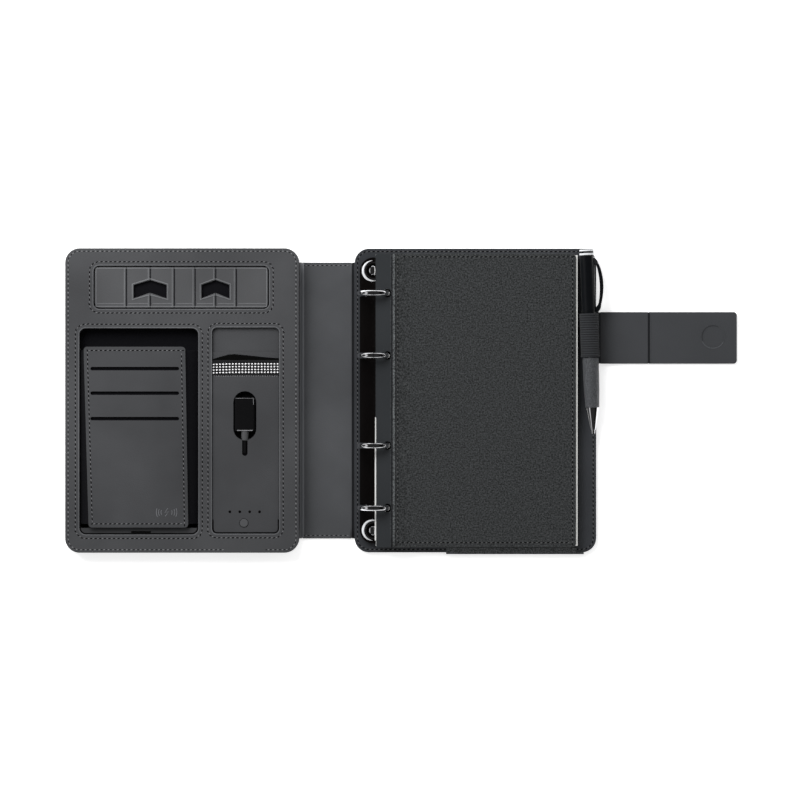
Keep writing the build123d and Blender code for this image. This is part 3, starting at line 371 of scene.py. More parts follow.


# %% [markdown]
# A finish for every slot
# The record names a slot for each node. One table from slot to finish dresses the whole frame in a loop, and
# a piece that is made later takes its finish from the same table.

# %% Finishes by slot
# Light grey, not metal: painted reflection on the mechanism's bevels and the pen's finial, where chrome would
# mirror the light.
highlight_grey_painted = moulded("highlight_grey_painted", (0.62, 0.63, 0.65), 0.22, depth=0.0)
FINISHES = {
    "cover_leather": cover_leather,
    "pocket_leather": pocket_leather,
    "stand_leather": stand_leather,
    "lining": lining_cloth,
    "elastic": elastic_cloth,
    "loop_elastic": loop_cloth,
    "notebook_cover": notebook_leather,
    "paper": page_paper,
    "board": moulded("paperboard", (0.32, 0.3, 0.27), 0.85, depth=0.0002),
    "core": moulded("core_moulding", (0.02, 0.02, 0.022), 0.6),
    "copper": coil_copper,
    "ferrite": moulded("ferrite", (0.05, 0.05, 0.055), 0.6, depth=0.0001),
    "magnet": plated("magnet_nickel", (0.7, 0.7, 0.72), 0.2),
    "bank_case": moulded("bank_case", (0.003, 0.003, 0.0035), 0.5, gloss=0.12),
    "cells": plated("cell_foil", (0.6, 0.61, 0.63), 0.35),
    "circuit": moulded("circuit_board", (0.015, 0.1, 0.04), 0.35, coat=0.4),
    "socket_metal": plated("socket_steel", (0.6, 0.6, 0.62), 0.25),
    "light_pipe": moulded("light_pipe", (0.002, 0.002, 0.002), 0.5, gloss=0.1),
    "button": moulded("button", (0.062, 0.063, 0.066), 0.4, gloss=0.35),
    "plug": moulded("plug_moulding", (0.004, 0.004, 0.0044), 0.6, depth=0.00006, gloss=0.12),
    # On the mechanism's plate, which is plated metal, this near-black finish is a painted reflection of the
    # dark side round the camera.
    "mech_black": moulded("mechanism_black", (0.0025, 0.002, 0.002), 0.32, depth=0.0, gloss=0.14),
    "chrome": plated("ring_chrome", (0.8, 0.8, 0.82), 0.06),
    "pen_black": moulded("pen_black", (0.003, 0.0035, 0.0045), 0.36, gloss=0.34),
    "pen_grey": speckled("pen_grey", (0.052, 0.054, 0.058)),
    "pen_chrome": plated("pen_chrome", (0.8, 0.8, 0.82), 0.08),
}
for node, thing in frame["nodes"].items():
    thing.data.materials.clear()
    thing.data.materials.append(FINISHES[SLOT_OF[node]])
print("finishes:", len(FINISHES))


# %% [markdown]
# Putting a mesh in the scene
# Every new piece needs the same few steps: an object, a finish, a body to ride on, and the nodes that it
# stands for. Flat leather should stay flat right up to its rounded edge, so a Weighted Normal modifier lets
# the large faces decide the shading.

# %% Piece helper
def placed(name, data):
    """A new object at the origin, linked to the scene."""
    thing = bpy.data.objects.new(name, data)
    bpy.context.collection.objects.link(thing)
    return thing


def mesh_data(name, mesh):
    """The mesh that a bmesh turns into."""
    data = bpy.data.meshes.new(name)
    mesh.to_mesh(data)
    mesh.free()
    return data


def new_object(name, data, finishes):
    """A smooth object for a mesh and its finishes."""
    for finish in finishes:
        data.materials.append(finish)
    data.shade_smooth()
    return placed(name, data)


def add_piece(name, mesh, finishes, body, nodes=(), smooth=40.0):
    """A finished piece from a bmesh, riding on a body."""
    piece = new_object(name, mesh_data(name, mesh), finishes)
    piece.data.set_sharp_from_angle(angle=math.radians(smooth))
    weighted = piece.modifiers.new("even_normals", "WEIGHTED_NORMAL")
    weighted.keep_sharp = True
    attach(piece, body)
    if nodes:
        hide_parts(*nodes)


print("dressing", len(frame["nodes"]), "nodes")


# %% [markdown]
# Working on a mesh
# The frame brings triangles, and a bevel needs whole faces, so coplanar triangles are joined first. The other
# helpers are the few steps that most pieces are made of: thicken a face, skin a row of lines, add a box.

# %% Mesh helpers
JOIN_WITHIN = 0.002
FLAT_WITHIN_DEG = 0.8


def closed_copy(node):
    """A CAD node's triangles joined into clean faces in a new bmesh."""
    mesh = bmesh.new()
    mesh.from_mesh(frame["nodes"][node].data)
    bmesh.ops.remove_doubles(mesh, verts=mesh.verts, dist=JOIN_WITHIN * MM)
    flat = math.radians(FLAT_WITHIN_DEG)
    bmesh.ops.dissolve_limit(mesh, angle_limit=flat, verts=mesh.verts, edges=mesh.edges)
    return mesh


def round_edges(mesh, width, segments=3, sharper_than=35.0):
    """Every sharp edge of the mesh rounded by so many millimetres."""
    limit = math.radians(sharper_than)
    sharp = [edge for edge in mesh.edges if len(edge.link_faces) == 2 and edge.calc_face_angle(0.0) > limit]
    bmesh.ops.bevel(mesh, geom=sharp, offset=width * MM, offset_type="OFFSET", affect="EDGES",
                    segments=segments, profile=0.5, material=-1, clamp_overlap=True)


def thicken(mesh, faces, depth):
    """The faces drawn down by so many millimetres into a closed slab."""
    pushed = bmesh.ops.extrude_face_region(mesh, geom=faces)
    lowered = [part for part in pushed["geom"] if isinstance(part, bmesh.types.BMVert)]
    bmesh.ops.translate(mesh, vec=(0, 0, -depth * MM), verts=lowered)
    bmesh.ops.recalc_face_normals(mesh, faces=mesh.faces)


def skin(mesh, lines):
    """Four-sided faces between neighbouring lines of vertices."""
    return [mesh.faces.new((one[step], two[step], two[step + 1], one[step + 1]))
            for one, two in zip(lines, lines[1:]) for step in range(len(one) - 1)]


def add_box(mesh, xs, ys, zs):
    """A box between two corners in millimetres, added to a mesh."""
    spans = (xs, ys, zs)
    middle = Matrix.Translation([(low + high) / 2 * MM for low, high in spans])
    size = Matrix.Diagonal([(high - low) * MM for low, high in spans] + [1])
    bmesh.ops.create_cube(mesh, size=1, matrix=middle @ size)


def dress(node, width, finish=None):
    """A CAD node's own shape with soft edges."""
    mesh = closed_copy(node)
    round_edges(mesh, width)
    slot = SLOT_OF[node]
    add_piece(node + "_dressed", mesh, [finish or FINISHES[slot]], BODY_OF[node], [node])


# %% [markdown]
# Leather shells with turned edges
# Cut leather is about a millimetre thick and its edges are pressed round, so they catch a thin line of
# light. The CAD sheets have the right outline. A Bevel modifier could roll their edges too. Here the flat
# triangles are joined into whole faces first and the bevel is cut into the mesh, so its corners are clean.

# %% Leather sheets
ROUNDED = {
    "left_outer_skin": 0.3, "left_edge_band": 0.3, "left_face_leather": 0.42, "spine_outer_skin": 0.25,
    "spine_inner_skin": 0.25, "right_outer_skin": 0.3, "right_lining": 0.32, "bottom_edge_wrap": 0.25,
    "strap_inner": 0.6, "strap_outer": 0.6, "pocket_panel": 0.4, "pocket_base_strip": 0.5,
    "bank_pocket_front": 0.35, "stand_end_left": 0.4, "stand_leaf_1": 0.4, "stand_leaf_2": 0.4,
    "stand_middle": 0.4, "stand_leaf_3": 0.4, "stand_leaf_4": 0.4, "stand_end_right": 0.4,
    "notebook_cover_panel": 0.35, "pocket_gussets": 0.25, "phone_floor_lining": 0.15, "card_sleeves": 0.1,
    "stand_bay_lining": 0.15, "notebook_back_board": 0.2, "charging_plug": 0.35, "power_button": 0.15,
    "mech_plate": 0.22, "power_bank_top": 0.3, "power_bank_base": 0.3,
    "cover_hinge_strip": 0.3, "strap_anchor": 0.3,
}
OWN_FINISH = {
    "cover_hinge_strip": hinge_leather, "pocket_base_strip": foot_leather, "strap_inner": strap_leather,
    "strap_outer": strap_leather, "right_outer_skin": back_leather, "right_lining": back_leather,
    "bottom_edge_wrap": wrap_cloth, "strap_anchor": back_leather, "spine_outer_skin": spine_leather,
    "spine_inner_skin": spine_leather,
}
for node, width in ROUNDED.items():
    dress(node, width, finish=OWN_FINISH.get(node))
print("dressed:", len(ROUNDED), "nodes")


# %% [markdown]
# Seams
# A seam is a row of short threads, each dipping into a needle hole at both ends. From above the eye reads it
# as light dashes between dark dots. A texture could draw them, but it would look flat from the side. So each
# thread is a flattened ball of a few dozen faces and each hole a small dark disc, near black as a painted
# shade of the hole, which keeps a whole cover's seam light.

# %% Paths for seams and pressed lines
def arc(x, y, radius, angles):
    """The points of a circle round a place, at these angles in degrees, in millimetres."""
    turns = [math.radians(angle) for angle in angles]
    return [(x + radius * math.cos(turn), y + radius * math.sin(turn)) for turn in turns]


def rounded_path(x, y, width, height, radius, steps=6):
    """The points of a rounded rectangle, anticlockwise from its lower right corner, in millimetres."""
    right, far = width / 2 - radius, height / 2 - radius
    quarter = [90 * step / steps for step in range(steps + 1)]
    corners = ((right, -far, -90), (right, far, 0), (-right, far, 90), (-right, -far, 180))
    points = []
    for corner_x, corner_y, start in corners:
        points += arc(x + corner_x, y + corner_y, radius, [start + angle for angle in quarter])
    return points + points[:1]


def spots_along(points, pitch):
    """Evenly spaced places and directions along a path."""
    lengths = [math.dist(a, b) for a, b in zip(points, points[1:])]
    count = max(1, round(sum(lengths) / pitch))
    step = sum(lengths) / count
    spots = []
    travelled = 0.0
    target = step / 2
    for (a, b), length in zip(zip(points, points[1:]), lengths):
        while length > 0 and target <= travelled + length:
            part = (target - travelled) / length
            place = (a[0] + (b[0] - a[0]) * part, a[1] + (b[1] - a[1]) * part)
            spots.append((place, math.atan2(b[1] - a[1], b[0] - a[0])))
            target += step
        travelled += length
    return spots


# %% [markdown]
# Threads and needle holes
# No two hand-guided stitches lie alike, so each one turns a little by chance. The chance has a fixed seed,
# and the seam comes out the same each time. At the charging notch the edge isn't sewn.

# %% Sew a seam
STITCH_PITCH = 3.3
STITCH_SLANT = 0.2
STITCH_STRAY = 0.15
EDGE_STITCH = ((1.3, 0.6, 0.36), (1.4, 0.65, 0.1))
WINDOW_STITCH = ((1.5, 0.55, 0.36), (2.1, 0.85, 0.1))
UNSEWN = (-74.7, -43.7)
UNSEWN_LOW = -100.0
draw = random.Random(7)


class Beads:
    """Many small squashed balls in one mesh: the threads of a seam, its holes, or a row of dots."""

    def __init__(self):
        ball = bmesh.new()
        bmesh.ops.create_uvsphere(ball, u_segments=8, v_segments=4, radius=0.5)
        ball.verts.index_update()
        self.ball_verts = [vert.co.copy() for vert in ball.verts]
        self.ball_faces = [[vert.index for vert in face.verts] for face in ball.faces]
        ball.free()
        self.verts = []
        self.faces = []
        self.indices = []

    def add(self, x, y, z, turn, size, index=0):
        """One ball at a place in millimetres, turned about Z, with its three sizes and its finish."""
        base = len(self.verts)
        cos, sin = math.cos(turn), math.sin(turn)
        for co in self.ball_verts:
            along, across = co.x * size[0], co.y * size[1]
            self.verts.append(((x + along * cos - across * sin) * MM, (y + along * sin + across * cos) * MM,
                               (z + co.z * size[2]) * MM))
        self.faces.extend([base + corner for corner in face] for face in self.ball_faces)
        self.indices.extend([index] * len(self.ball_faces))

    def seam(self, points, height, stitch):
        """Threads and needle holes along a path, at a height that may change with x."""
        for (x, y), heading in spots_along(points, STITCH_PITCH):
            if y < UNSEWN_LOW and UNSEWN[0] < x < UNSEWN[1]:
                continue
            hole_x = x - STITCH_PITCH / 2 * math.cos(heading)
            hole_y = y - STITCH_PITCH / 2 * math.sin(heading)
            for index, (place_x, place_y) in enumerate(((x, y), (hole_x, hole_y))):
                z = height(place_x) if callable(height) else height
                turn = heading + STITCH_SLANT + draw.uniform(-STITCH_STRAY, STITCH_STRAY)
                self.add(place_x, place_y, z, turn, stitch[index], index)

    def piece(self, name, finishes, body, slot):
        """The balls as one object that rides on a body."""
        data = bpy.data.meshes.new(name)
        data.from_pydata(self.verts, [], self.faces)
        data.polygons.foreach_set("material_index", self.indices)
        thing = new_object(name, data, finishes)
        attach(thing, body)


def seams_piece(name, runs, body, slot, stitch=EDGE_STITCH, thread=seam_thread):
    """One object with several seams."""
    beads = Beads()
    for points, height in runs:
        beads.seam(points, height, stitch)
    beads.piece(name, [thread, shadow_black_painted], body, slot)
    print(name + ":", len(beads.verts), "vertices")


# %% [markdown]
# Where the seams run
# Each seam follows the edge that it holds, so its path comes from the same box as the CAD node, moved in by
# the margin that a machinist would leave.

# %% Seams of the covers
class Plan:
    """A node's box seen from above, in millimetres."""

    def __init__(self, node):
        low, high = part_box(node)
        self.x = (low.x + high.x) / 2 / MM
        self.y = (low.y + high.y) / 2 / MM
        self.width = (high.x - low.x) / MM
        self.height = (high.y - low.y) / MM
        self.low = low.z / MM
        self.top = high.z / MM


COVER_MARGIN = 2.2
COVER_CORNER = 10.5
WINDOW_MARGIN = 3.0
SPINE_MARGIN = 1.0
LEAST_RADIUS = 0.5
PHONE_X = -135.7
PHONE_WIDE = 85.7
PHONE_CORNER = 4.5
STAND_WINDOW = (-105.0, 81.7, 126.6, 31.0, 4.0)
PHONE_WINDOW = (PHONE_X, -22.3, PHONE_WIDE, 148.7, PHONE_CORNER)
BANK_WINDOW = (-58.6, -21.8, 48.3, 148.7, 3.5)
WINDOWS = (STAND_WINDOW, PHONE_WINDOW, BANK_WINDOW)


def inset_loop(x, y, width, height, radius, margin):
    """A rounded path that runs inside an edge by the margin, or outside it if the margin is negative."""
    return rounded_path(x, y, width - 2 * margin, height - 2 * margin, max(radius - margin, LEAST_RADIUS))


def cover_seam(face):
    """The path and height of the seam along a cover's edge."""
    return inset_loop(face.x, face.y, face.width, face.height, COVER_CORNER, COVER_MARGIN), face.top


left_face = Plan("left_face_leather")
seams_piece("left_cover_seams", [cover_seam(left_face)], "left_cover", "cover_leather")
window_runs = [(inset_loop(*window, -WINDOW_MARGIN), left_face.top) for window in WINDOWS]
seams_piece("window_seams", window_runs, "left_cover", "cover_leather", WINDOW_STITCH, sunk_thread)
seams_piece("right_cover_seams", [cover_seam(Plan("right_lining"))], "right_cover", "cover_leather",
            WINDOW_STITCH, book_thread)

spine = Plan("spine_inner_skin")
spine_end = spine.width / 2 - SPINE_MARGIN
spine_runs = []
for side in (-1, 1):
    line_y = side * (spine.height / 2 - COVER_MARGIN)
    spine_runs.append(([(-spine_end, line_y), (spine_end, line_y)], spine.top))
seams_piece("spine_seams", spine_runs, "spine", "cover_leather", EDGE_STITCH, sunk_thread)


# %% [markdown]
# Seams of the pocket and the notebook
# The card panel is wider at its foot than at its mouth, so its seam is a path of four corners moved in by
# the margin. The notebook's cover slopes down from the rings, and its seam follows the slope.

# %% Seams of the card panel and the notebook
PANEL_MARGIN = 2.7
PANEL_CORNERS = (((-175.4, 38.8), (1, -1)), ((-171.8, -91.7), (1, 1)), ((-99.9, -91.7), (-1, 1)),
                 ((-102.1, 38.8), (-1, -1)))
panel_top = Plan("pocket_panel").top
panel_path = [(x + inward_x * PANEL_MARGIN, y + inward_y * PANEL_MARGIN)
              for (x, y), (inward_x, inward_y) in PANEL_CORNERS]
seams_piece("card_panel_seams", [(panel_path + panel_path[:1], panel_top)], "left_cover", "pocket_leather",
            WINDOW_STITCH, sunk_thread)

cover_low, cover_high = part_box("notebook_cover_panel")
NOTEBOOK_BEND = 60.0
NOTEBOOK_DROP = 4.7
NOTEBOOK_CREASE = 48.0
IN_LEFT = 3.2
IN_RIGHT = 2.3
IN_TOP = 2.2
IN_LOW = 3.3
book_left = NOTEBOOK_CREASE + IN_LEFT
book_right = cover_high.x / MM - IN_RIGHT
book_top = cover_high.y / MM - IN_TOP
book_low = cover_low.y / MM + IN_LOW
crease_top = cover_high.z / MM


def book_height(x):
    """The top of the notebook's cover, which slopes down from its crease and then lies flat."""
    part = (x - NOTEBOOK_CREASE) / (NOTEBOOK_BEND - NOTEBOOK_CREASE)
    return crease_top - NOTEBOOK_DROP * min(max(part, 0.0), 1.0)


book_path = [(book_left, book_low), (book_right, book_low), (book_right, book_top), (book_left, book_top),
             (book_left, book_low)]
seams_piece("notebook_seams", [(book_path, book_height)], "cover_panel", "notebook_cover", WINDOW_STITCH,
            book_thread)


# %% [markdown]
# Loose page edge
# Leaves on rings never lie quite flush. One slips out a little under the lower half of the notebook's
# hinge, as a white line that thins out upwards, and above it the hinge strip's own edge is turned down.
# Thin bars do for both.

# %% Loose page edge
PEEK_X = (34.7, 35.9)
PEEK_THIN_X = (34.9, 35.4)
TURNED_X = (35.3, 36.1)
PEEK_LOW = -101.0
PEEK_NARROWS = -33.0
PEEK_ENDS = -12.0
PEEK_DEEP = 0.3
PEEK_PROUD = 0.1
TURNED_DEEP = 0.6
TURNED_PROUD = 0.05
leaves_body = BODY_OF["upper_leaves"]
leaf_top = Plan("upper_leaves").top
hinge_top = Plan("cover_hinge_strip").top
leaf_span = (leaf_top - PEEK_DEEP, leaf_top + PEEK_PROUD)
turned_span = (hinge_top - TURNED_DEEP, hinge_top + TURNED_PROUD)


def slip(name, xs, ys, zs, finish, body):
    """A thin flat bar between two corners in millimetres."""
    mesh = bmesh.new()
    add_box(mesh, xs, ys, zs)
    add_piece(name, mesh, [finish], body)
    print(name + ":", round(ys[1] - ys[0], 1), "mm long")


slip("page_peeking", PEEK_X, (PEEK_LOW, PEEK_NARROWS), leaf_span, page_paper, leaves_body)
slip("page_peeking_thin", PEEK_THIN_X, (PEEK_NARROWS, PEEK_ENDS), leaf_span, page_paper, leaves_body)
slip("hinge_turned_edge", TURNED_X, (PEEK_ENDS, book_top + 1.0), turned_span, hinge_leather,
     BODY_OF["cover_hinge_strip"])


# %% [markdown]
# Lines pressed into leather
# A hot press leaves low rounded ridges: round the phone stand's border, along its folds and round its arrow
# holes. A bump in the finish would do from above only. A thin tube sunk into the leather until just its
# crown stands proud gives the real shape, and it can follow any path.

# %% Pressed lines
def add_tube(mesh, points, radius, closed=False, sides=1):
    """A round bar along points in millimetres, taken from a bevelled curve, added to a mesh."""
    curve = bpy.data.curves.new("line", "CURVE")
    curve.dimensions = "3D"
    curve.bevel_depth = radius * MM
    curve.bevel_resolution = sides
    curve.use_fill_caps = True
    spline = curve.splines.new("POLY")
    spline.points.add(len(points) - 1)
    for point, (x, y, z) in zip(spline.points, points):
        point.co = (x * MM, y * MM, z * MM, 1)
    spline.use_cyclic_u = closed
    holder = bpy.data.objects.new("line", curve)
    shape = bpy.data.meshes.new_from_object(holder)
    mesh.from_mesh(shape)
    bpy.data.objects.remove(holder)
    bpy.data.curves.remove(curve)
    bpy.data.meshes.remove(shape)


def pressed_line(mesh, path, z, size, closed=False):
    """A ridge on a surface at height z; its size is its radius and how far it stands proud."""
    radius, proud = size
    add_tube(mesh, [(x, y, z + proud - radius) for x, y in path], radius, closed)


# %% [markdown]
# Window lips
# The face leather is turned down into each window and its edge stands up a little. One closed line round each
# window stands for the turned edge, in a lighter copy of the cover leather: a painted highlight.

# %% Window lips
LIP_MARGIN = 0.6
LIP_LINE = (0.55, 0.25)
lips = bmesh.new()
for window in WINDOWS:
    pressed_line(lips, inset_loop(*window, -LIP_MARGIN)[:-1], left_face.top, LIP_LINE, closed=True)
add_piece("window_lips", lips, [lip_highlight_painted], "left_cover")
print("lips:", len(WINDOWS), "windows")


# %% [markdown]
# Foot of the windows
# The leather at the phone pocket's foot runs on into the window's rounded corners. Below it, and below the
# power bank's pocket, the cover's cut edge throws a shadow, painted as a thin black line, and a black line on
# the foot strip is the painted shade of its slot.

# %% Foot corners and dark lines
FOOT_DROP = 1.2
FOOT_STEPS = 8
FOOT_GAP = 0.2
FOOT_SLOT = ((-140.8, -94.7), (-138.2, -95.2), (-134.2, -94.9), (-130.0, -95.2), (-127.0, -94.8))
SLOT_LINE = (0.6, 0.14)
PHONE_SHADOW = (0.5, -91.0, (0.8, 0.19))
BANK_SHADOW = (0.6, -86.0, (0.75, 0.18))
foot_strip = Plan("pocket_base_strip")
foot_low = foot_strip.y - foot_strip.height / 2
foot_far = foot_strip.y + foot_strip.height / 2
foot_reach = PHONE_CORNER - FOOT_GAP
bank_top = Plan("bank_pocket_front").top
foot = bmesh.new()
for side in (-1, 1):
    corner_x = PHONE_X + side * (PHONE_WIDE / 2 - PHONE_CORNER)
    angles = [-90 + side * 90 * step / FOOT_STEPS for step in range(FOOT_STEPS + 1)]
    outline = arc(corner_x, foot_low + foot_reach, foot_reach, angles)
    outline += [(corner_x + side * foot_reach, foot_far), (corner_x, foot_far)]
    flat = foot.faces.new([foot.verts.new((x * MM, y * MM, foot_strip.top * MM)) for x, y in outline])
    thicken(foot, [flat], FOOT_DROP)
add_piece("pocket_foot_corners", foot, [foot_leather], "left_cover")


def low_line(window, margin, high_y):
    """A window's outline below a height, from its left side round to its right side."""
    low_points = [point for point in inset_loop(*window, margin)[:-1] if point[1] < high_y]
    left_arc = [point for point in low_points if point[0] < window[0]]
    right_arc = [point for point in low_points if point[0] > window[0]]
    return [(left_arc[0][0], high_y)] + left_arc + right_arc + [(right_arc[-1][0], high_y)]


shadow_lines = bmesh.new()
for window, level, (margin, high_y, line) in ((PHONE_WINDOW, foot_strip.top, PHONE_SHADOW),
                                              (BANK_WINDOW, bank_top, BANK_SHADOW)):
    pressed_line(shadow_lines, low_line(window, margin, high_y), level, line)
pressed_line(shadow_lines, FOOT_SLOT, foot_strip.top, SLOT_LINE)
add_piece("window_shadows_painted", shadow_lines, [shadow_black_painted], "left_cover")
print("foot corners: 2, dark lines: 3")


# %% [markdown]
# Lines of the phone stand
# The stand is one strip of leather over hinged boards. Each length carries its part of the rim, a ridge
# beside the fold and a groove in it, so that the lines part at the folds when the strip is raised.

# %% Stand lines
STAND_RIM = 1.0
STAND_STEP = 3.1
JOINT_GAP = 0.1
CHEVRONS = ((-127.6, 23.7), (-80.4, 20.0))
CHEVRON_LOW = 73.8
CHEVRON_HIGH = 83.4
CHEVRON_RISE = 3.5
CHEVRON_NEAR = 0.5
LIP_GROW = 1.0
LIP_SHOULDER = 0.6
LIP_SPLIT = 0.2
NOTCH_GAP = 1.6
TIP_GAP = 1.0
FOLD_RIDGE = 1.1
FOLD_GROOVE = 0.35
RIM_LINE = (0.55, 0.22)
STEP_LINE = (0.4, 0.16)
RIDGE_LINE = (0.5, 0.25)
CHEVRON_LINE = (0.7, 0.4)
GROOVE_LINE = (0.5, 0.1)


def chevron_lip(x, width, side):
    """One half of the raised lip round an arrow hole, from its notch to its tip."""
    edge_x = x + side * (width / 2 + LIP_GROW)
    middle = x + side * LIP_SPLIT
    return [(middle, CHEVRON_LOW + CHEVRON_RISE - LIP_GROW), (edge_x, CHEVRON_LOW - LIP_GROW),
            (edge_x, CHEVRON_HIGH + LIP_SHOULDER), (middle, CHEVRON_HIGH + CHEVRON_RISE + LIP_GROW)]


def fold_runs(fold_x, low_y, high_y):
    """The stretches of a fold line from edge to edge, broken where an arrow hole crosses it."""
    if any(abs(fold_x - x) < CHEVRON_NEAR for x, width in CHEVRONS):
        return [(low_y, CHEVRON_LOW + CHEVRON_RISE - NOTCH_GAP),
                (CHEVRON_HIGH + CHEVRON_RISE + TIP_GAP, high_y)]
    return [(low_y, high_y)]


print("arrow holes:", len(CHEVRONS))


# %% [markdown]
# One length of the stand
# The lines of a length depend only on where it lies: the first and the last carry the rim's ends, and the
# arrow lips belong to the lengths that meet at a hole. So one function draws any length, and a loop runs it.

# %% Lengths of the stand
def stand_lines(node, first, last):
    """The rim, the step inside it, the fold ridge, the fold groove and any arrow lip on one length."""
    length = Plan(node)
    left, right = length.x - length.width / 2, length.x + length.width / 2
    low_x = left + (STAND_RIM if first else JOINT_GAP)
    high_x = right - (STAND_RIM if last else JOINT_GAP)
    low_y = length.y - length.height / 2 + STAND_RIM
    high_y = length.y + length.height / 2 - STAND_RIM
    step_y = length.y - length.height / 2 + STAND_STEP
    ridge_x = high_x if last else high_x - FOLD_RIDGE
    groove_x = left + FOLD_GROOVE
    lines = [([(low_x, y), (high_x, y)], RIM_LINE) for y in (low_y, high_y)]
    lines.append(([(left + STAND_STEP / 2, step_y), (right - STAND_STEP / 2, step_y)], STEP_LINE))
    if first:
        lines.append(([(low_x, low_y), (low_x, high_y)], RIM_LINE))
    for start, end in fold_runs(right, low_y, high_y):
        lines.append(([(ridge_x, start), (ridge_x, end)], RIDGE_LINE))
    for x, width in CHEVRONS:
        for fold_x, side in ((right, -1), (left, 1)):
            if abs(fold_x - x) < CHEVRON_NEAR:
                lines.append((chevron_lip(x, width, side), CHEVRON_LINE))
    # Raised lines take a lighter copy of the stand leather, a painted highlight; the fold grooves below take
    # a near-black finish, a painted shade.
    raised = bmesh.new()
    for path, size in lines:
        pressed_line(raised, path, length.top, size)
    add_piece(node + "_lines", raised, [ridge_highlight_painted], BODY_OF[node])
    if not first:
        sunk = bmesh.new()
        for start, end in fold_runs(left, low_y, high_y):
            pressed_line(sunk, [(groove_x, start), (groove_x, end)], length.top, GROOVE_LINE)
        add_piece(node + "_groove", sunk, [crease_shade_painted], BODY_OF[node])


STAND_NAMES = ("stand_end_left", "stand_leaf_1", "stand_leaf_2", "stand_middle", "stand_leaf_3",
               "stand_leaf_4", "stand_end_right")
for node in STAND_NAMES:
    stand_lines(node, node == STAND_NAMES[0], node == STAND_NAMES[-1])
print("pressed lines on", len(STAND_NAMES), "lengths of the stand")


# %% [markdown]
# Elastic band
# The mouth of the power bank's pocket is held by a woven elastic with rows of pale dots. Its ribs could be a
# bump, but real ones still catch the light from low down. So it is a grid whose height is worked out from
# its place: fine ribs all along it, and a raised hem near each long edge. The dots are small balls, in rows
# that sag a little towards the left.

# %% Elastic band
DOT_ROWS = 4
DOT_COLUMNS = 21
DOT_PITCH_Y = 2.03
DOT_SIZE = (1.5, 1.15, 0.6)
DOT_SUNK = 0.3
DOT_SAG = 0.5
DOT_MARGIN = 0.8
BAND_GRID = (120, 36)
BAND_THICK = 0.7
BAND_SUNK = 0.4
RIB_PITCH = 0.8
RIB_RISE = 0.07
HEM_RISE = 0.16
HEM_IN = 1.0
HEM_HALF = 0.7
elastic = Plan("pocket_elastic_band")
band = bmesh.new()
bmesh.ops.create_grid(band, x_segments=BAND_GRID[0], y_segments=BAND_GRID[1], size=0.5)
band_place = Matrix.Translation((elastic.x * MM, elastic.y * MM, (elastic.top - BAND_SUNK) * MM))
band_size = Matrix.Diagonal((elastic.width * MM, elastic.height * MM, 1, 1))
bmesh.ops.transform(band, matrix=band_place @ band_size, verts=band.verts)
for vert in band.verts:
    from_x, from_y = vert.co.x / MM - elastic.x, vert.co.y / MM - elastic.y
    rib = RIB_RISE * math.cos(2 * math.pi * from_x / RIB_PITCH)
    in_hem = abs(abs(from_y) - elastic.height / 2 + HEM_IN) < HEM_HALF
    vert.co.z += (rib + (HEM_RISE if in_hem else 0.0)) * MM
thicken(band, band.faces[:], BAND_THICK)
add_piece("elastic_band", band, [elastic_cloth], "left_cover", ["pocket_elastic_band"])

dots = Beads()
dot_half = elastic.width / 2 - DOT_MARGIN
for row in range(DOT_ROWS):
    for column in range(DOT_COLUMNS):
        from_middle = dot_half * (2 * column / (DOT_COLUMNS - 1) - 1)
        sag = DOT_SAG * max(0.0, -from_middle / (elastic.width / 2)) ** 2
        dot_y = elastic.y + (row - (DOT_ROWS - 1) / 2) * DOT_PITCH_Y - sag
        dots.add(elastic.x + from_middle, dot_y, elastic.top - DOT_SUNK, 0.0, DOT_SIZE)
dots.piece("elastic_dots", [dot_thread], "left_cover", "elastic")
print("elastic dots:", DOT_ROWS * DOT_COLUMNS)


# %% [markdown]
# Mouth of the power bank's pocket
# Behind the elastic the pocket gapes, and a loose edge of leather hangs over the dark gap in a shallow curve.
# The gap's darkness is a thin near-black sheet, a painted shadow. The edge is a skin between that curve and a
# straight line, bent down towards the curve.

# %% Edges of the power bank's mouth
GAP_Y = (27.0, 35.0)
GAP_Z = (10.29, 10.37)
GAP_MARGIN = 0.2
MOUTH_TOP = 35.2
MOUTH_Z = 10.3
MOUTH_THICK = 0.35
MOUTH_BEND = 0.25
MOUTH_STEPS = 4
MOUTH_CURVE = ((-82.6, 29.8), (-77.0, 31.6), (-71.0, 33.2), (-67.0, 33.5), (-58.0, 32.7), (-46.0, 31.4),
               (-34.6, 30.5))
HEM_Y = 17.7
HEM_MARGIN = 0.5
HEM_PITCH = 1.7
HEM_STRAY = 0.2
HEM_PROUD = 0.05
HEM_STITCH = (1.3, 0.5, 0.3)
band_left, band_right = elastic.x - elastic.width / 2, elastic.x + elastic.width / 2
slip("mouth_shadow_painted", (band_left + GAP_MARGIN, band_right - GAP_MARGIN), GAP_Y, GAP_Z, shadow_black_painted,
     "left_cover")
mouth = bmesh.new()
columns = []
for x, low_y in MOUTH_CURVE:
    column = []
    for step in range(MOUTH_STEPS + 1):
        part = step / MOUTH_STEPS
        z = MOUTH_Z + MOUTH_THICK - MOUTH_BEND * (1 - part) ** 2
        column.append(mouth.verts.new((x * MM, (low_y + (MOUTH_TOP - low_y) * part) * MM, z * MM)))
    columns.append(column)
thicken(mouth, skin(mouth, columns), MOUTH_THICK)
add_piece("mouth_leather", mouth, [pocket_leather], "left_cover")

hem = Beads()
hem_run = [(band_left + HEM_MARGIN, HEM_Y), (band_right - HEM_MARGIN, HEM_Y)]
for (x, y), heading in spots_along(hem_run, HEM_PITCH):
    hem.add(x, y, bank_top + HEM_PROUD, draw.uniform(-HEM_STRAY, HEM_STRAY), HEM_STITCH)
hem.piece("hem_threads", [hem_thread_and_highlight], "left_cover", "elastic")
